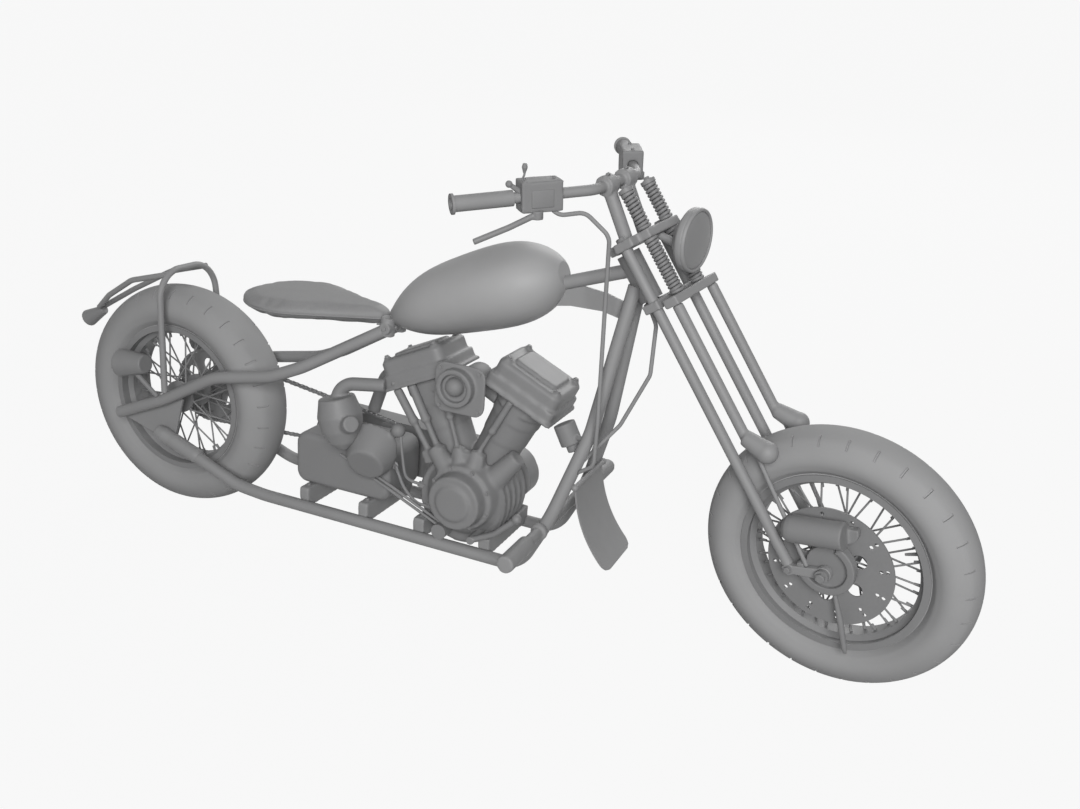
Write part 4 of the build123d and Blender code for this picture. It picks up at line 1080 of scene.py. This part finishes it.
def padded_mesh(node, inset, voxel, swell, frames=20, pressure=4.0):
    """A CAD pad blown up gently like stuffed hide, with no point moved further than the swell."""
    bm = skinned(node_mesh(node), voxel)
    bm.normal_update()
    for vert in bm.verts:
        vert.co -= vert.normal * inset
    smooth(bm, 6)
    pad = new_object("pad_start", bm)
    start = [vert.co.copy() for vert in pad.data.vertices]
    cloth = pad.modifiers.new("stuffing", "CLOTH")
    cloth.settings.use_pressure = True
    cloth.settings.uniform_pressure_force = pressure
    cloth.settings.effector_weights.gravity = 0.0
    scene = bpy.context.scene
    for number in range(1, frames + 1):
        scene.frame_set(number)
    swollen = shaped_mesh(pad)
    pad.modifiers.clear()
    scene.frame_set(1)
    for vert, home in zip(swollen.vertices, start):
        move = vert.co - home
        if move.length > swell:
            vert.co = home + move.normalized() * swell
    pad.data = swollen
    mesh = pad.data
    bpy.data.objects.remove(pad)
    return mesh


class CHOPPER_OT_seat(Operator):
    """The stuffed solo seat, with the piped seam round its side"""
    bl_idname = "chopper.seat"
    bl_label = "Seat"

    def execute(self, context):
        crown = context.scene.chopper_seat.crown
        bm = bmesh.new()
        bm.from_mesh(padded_mesh("seat", 0.0015, 0.0062, crown))
        smooth(bm, 3)
        cushion = keep_piece("seat_cushion", bm, "frame", "seat_leather", replaces=("seat",),
                             smooth_angle=80.0, parked=True)
        subdivide = cushion.modifiers.new("finish", "SUBSURF")
        subdivide.levels = subdivide.render_levels = 1
        self.piping()
        return {"FINISHED"}

    def piping(self):
        """The seam's cord, round two circles and the flanks tangent to both."""
        height, wide_x, wide_r, nose_x, nose_r = 0.682, 0.4065, 0.1545, 0.652, 0.0402
        lean = acos((0.160 - 0.040) / (nose_x - wide_x))
        points = []
        for x, radius, first, sweep, steps in ((wide_x, wide_r, lean, 2 * pi - 2 * lean, 48),
                                               (nose_x, nose_r, -lean, 2 * lean, 16)):
            for i in range(steps + 1):
                turn = first + sweep * i / steps
                points.append((x + radius * cos(turn), radius * sin(turn), height))
        bm = bmesh.new()
        add_tube(bm, points, 0.0022, 8, closed=True)
        keep_piece("seat_piping", bm, "frame", "seat_leather", smooth_angle=70.0)


class CHOPPER_OT_stage(Operator):
    """Floor, soft lights and the photograph's camera"""
    bl_idname = "chopper.stage"
    bl_label = "Stage"

    def execute(self, context):
        settings = context.scene.chopper_stage
        self.floor()
        self.world(settings.fill_strength)
        self.lamp("key", (2.2, -4.4, 3.4), 2.6, settings.key_power)
        self.lamp("far", (0.0, 4.6, 2.6), 3.0, settings.key_power * 0.50)
        self.camera(context)
        context.scene.view_settings.view_transform = "Standard"
        return {"FINISHED"}

    def floor(self):
        bm = bmesh.new()
        bmesh.ops.create_grid(bm, x_segments=1, y_segments=1, size=30.0)
        floor = new_object("floor", bm)
        # The floor's own grey catches the light, and the glow that the camera sees makes up the rest
        grey, glow = 0.14, 0.93
        paint = Paint("floor_white", (grey, grey, grey), 0.9)
        rays = paint.tree.nodes.new("ShaderNodeLightPath")
        seen = [Signal(paint, rays.outputs[name]) for name in
                ("Is Camera Ray", "Is Glossy Ray", "Is Transmission Ray")]
        white = paint.node("ShaderNodeEmission", None, (1.0, 1.0, 1.0, 1.0), 1.0)
        amount = paint.node("ShaderNodeMath", {"operation": "MAXIMUM"}, seen[0],
                            paint.node("ShaderNodeMath", {"operation": "MAXIMUM"}, seen[1], seen[2]))
        mixed = paint.node("ShaderNodeMixShader", None, amount * glow,
                           Signal(paint, paint.shader.outputs[0]), white)
        output = paint.tree.nodes["Material Output"]
        paint.tree.links.new(mixed.socket, output.inputs["Surface"])
        floor.data.materials.append(paint.material)

    def world(self, strength):
        world = bpy.data.worlds.new("studio")
        bpy.context.scene.world = world
        world.use_nodes = True
        tree = world.node_tree
        background = tree.nodes["Background"]
        background.inputs["Color"].default_value = (1.0, 1.0, 1.0, 1.0)
        rays = tree.nodes.new("ShaderNodeLightPath")
        seen = rays.outputs["Is Camera Ray"]
        for name in ("Is Glossy Ray", "Is Transmission Ray"):
            most = tree.nodes.new("ShaderNodeMath")
            most.operation = "MAXIMUM"
            tree.links.new(seen, most.inputs[0])
            tree.links.new(rays.outputs[name], most.inputs[1])
            seen = most.outputs[0]
        level = tree.nodes.new("ShaderNodeMapRange")
        tree.links.new(seen, level.inputs[0])
        level.inputs[3].default_value = strength
        level.inputs[4].default_value = 1.0
        tree.links.new(level.outputs[0], background.inputs["Strength"])

    def lamp(self, name, place, size, power):
        light = bpy.data.lights.new(name, "AREA")
        light.size = size
        light.energy = power
        lamp = bpy.data.objects.new(name, light)
        bpy.context.scene.collection.objects.link(lamp)
        lamp.location = place
        lamp.rotation_euler = (Vector((0, 0, 0.4)) - Vector(place)).to_track_quat("-Z", "Y").to_euler()

    def camera(self, context):
        a, e, r = CAMERA_AZIMUTH, CAMERA_HEIGHT, CAMERA_ROLL
        back = Vector((sin(a) * cos(e), -cos(a) * cos(e), sin(e)))
        level = Vector((cos(a), sin(a), 0.0))
        upright = back.cross(level)
        right = level * cos(r) + upright * sin(r)
        up = upright * cos(r) - level * sin(r)
        eye = CAMERA_TARGET + back * CAMERA_DISTANCE
        pose = Matrix(((right.x, up.x, back.x, eye.x), (right.y, up.y, back.y, eye.y),
                       (right.z, up.z, back.z, eye.z), (0, 0, 0, 1)))
        lens = bpy.data.cameras.new("photo_camera")
        lens.sensor_width = SENSOR
        lens.lens = FOCAL_PIXELS / PHOTO_WIDTH * SENSOR
        lens.clip_end = 200.0
        camera = bpy.data.objects.new("photo_camera", lens)
        context.scene.collection.objects.link(camera)
        camera.matrix_world = MACHINE @ pose
        context.scene.camera = camera


class CHOPPER_PT_panel(Panel):
    """The motorcycle's pieces, in the order that they are made"""
    bl_label = "Chopper motorcycle"
    bl_idname = "CHOPPER_PT_panel"
    bl_space_type = "VIEW_3D"
    bl_region_type = "UI"
    bl_category = "Motorcycle"

    def draw(self, context):
        scene = context.scene
        for name, kind in SETTINGS:
            for key in kind.__annotations__:
                self.layout.prop(getattr(scene, name), key)
        for step in STEPS:
            self.layout.operator(step.bl_idname)


STEPS = (CHOPPER_OT_finishes, CHOPPER_OT_stage, CHOPPER_OT_castings, CHOPPER_OT_tyres,
         CHOPPER_OT_wheel_trim, CHOPPER_OT_springs, CHOPPER_OT_bolts, CHOPPER_OT_brake, CHOPPER_OT_lamp,
         CHOPPER_OT_cables, CHOPPER_OT_frame_trim, CHOPPER_OT_guard, CHOPPER_OT_primary, CHOPPER_OT_chain,
         CHOPPER_OT_controls, CHOPPER_OT_seat)
SETTINGS = (("chopper_finish", FinishSettings), ("chopper_stage", StageSettings),
            ("chopper_casting", CastingSettings), ("chopper_tyre", TyreSettings),
            ("chopper_spring", SpringSettings), ("chopper_guard", GuardSettings),
            ("chopper_seat", SeatSettings))


def register():
    for name, group in SETTINGS:
        bpy.utils.register_class(group)
        setattr(bpy.types.Scene, name, PointerProperty(type=group))
    for step in STEPS:
        bpy.utils.register_class(step)
    bpy.utils.register_class(CHOPPER_PT_panel)


def unregister():
    bpy.utils.unregister_class(CHOPPER_PT_panel)
    for step in reversed(STEPS):
        bpy.utils.unregister_class(step)
    for name, group in reversed(SETTINGS):
        delattr(bpy.types.Scene, name)
        bpy.utils.unregister_class(group)


def main():
    register()
    bpy.ops.chopper.finishes()
    bpy.ops.chopper.stage()
    bpy.ops.chopper.castings()
    bpy.ops.chopper.tyres()
    bpy.ops.chopper.wheel_trim()
    bpy.ops.chopper.springs()
    bpy.ops.chopper.bolts()
    bpy.ops.chopper.brake()
    bpy.ops.chopper.lamp()
    bpy.ops.chopper.cables()
    bpy.ops.chopper.frame_trim()
    bpy.ops.chopper.guard()
    bpy.ops.chopper.primary()
    bpy.ops.chopper.chain()
    bpy.ops.chopper.controls()
    bpy.ops.chopper.seat()


if __name__ == "__main__":
    main()
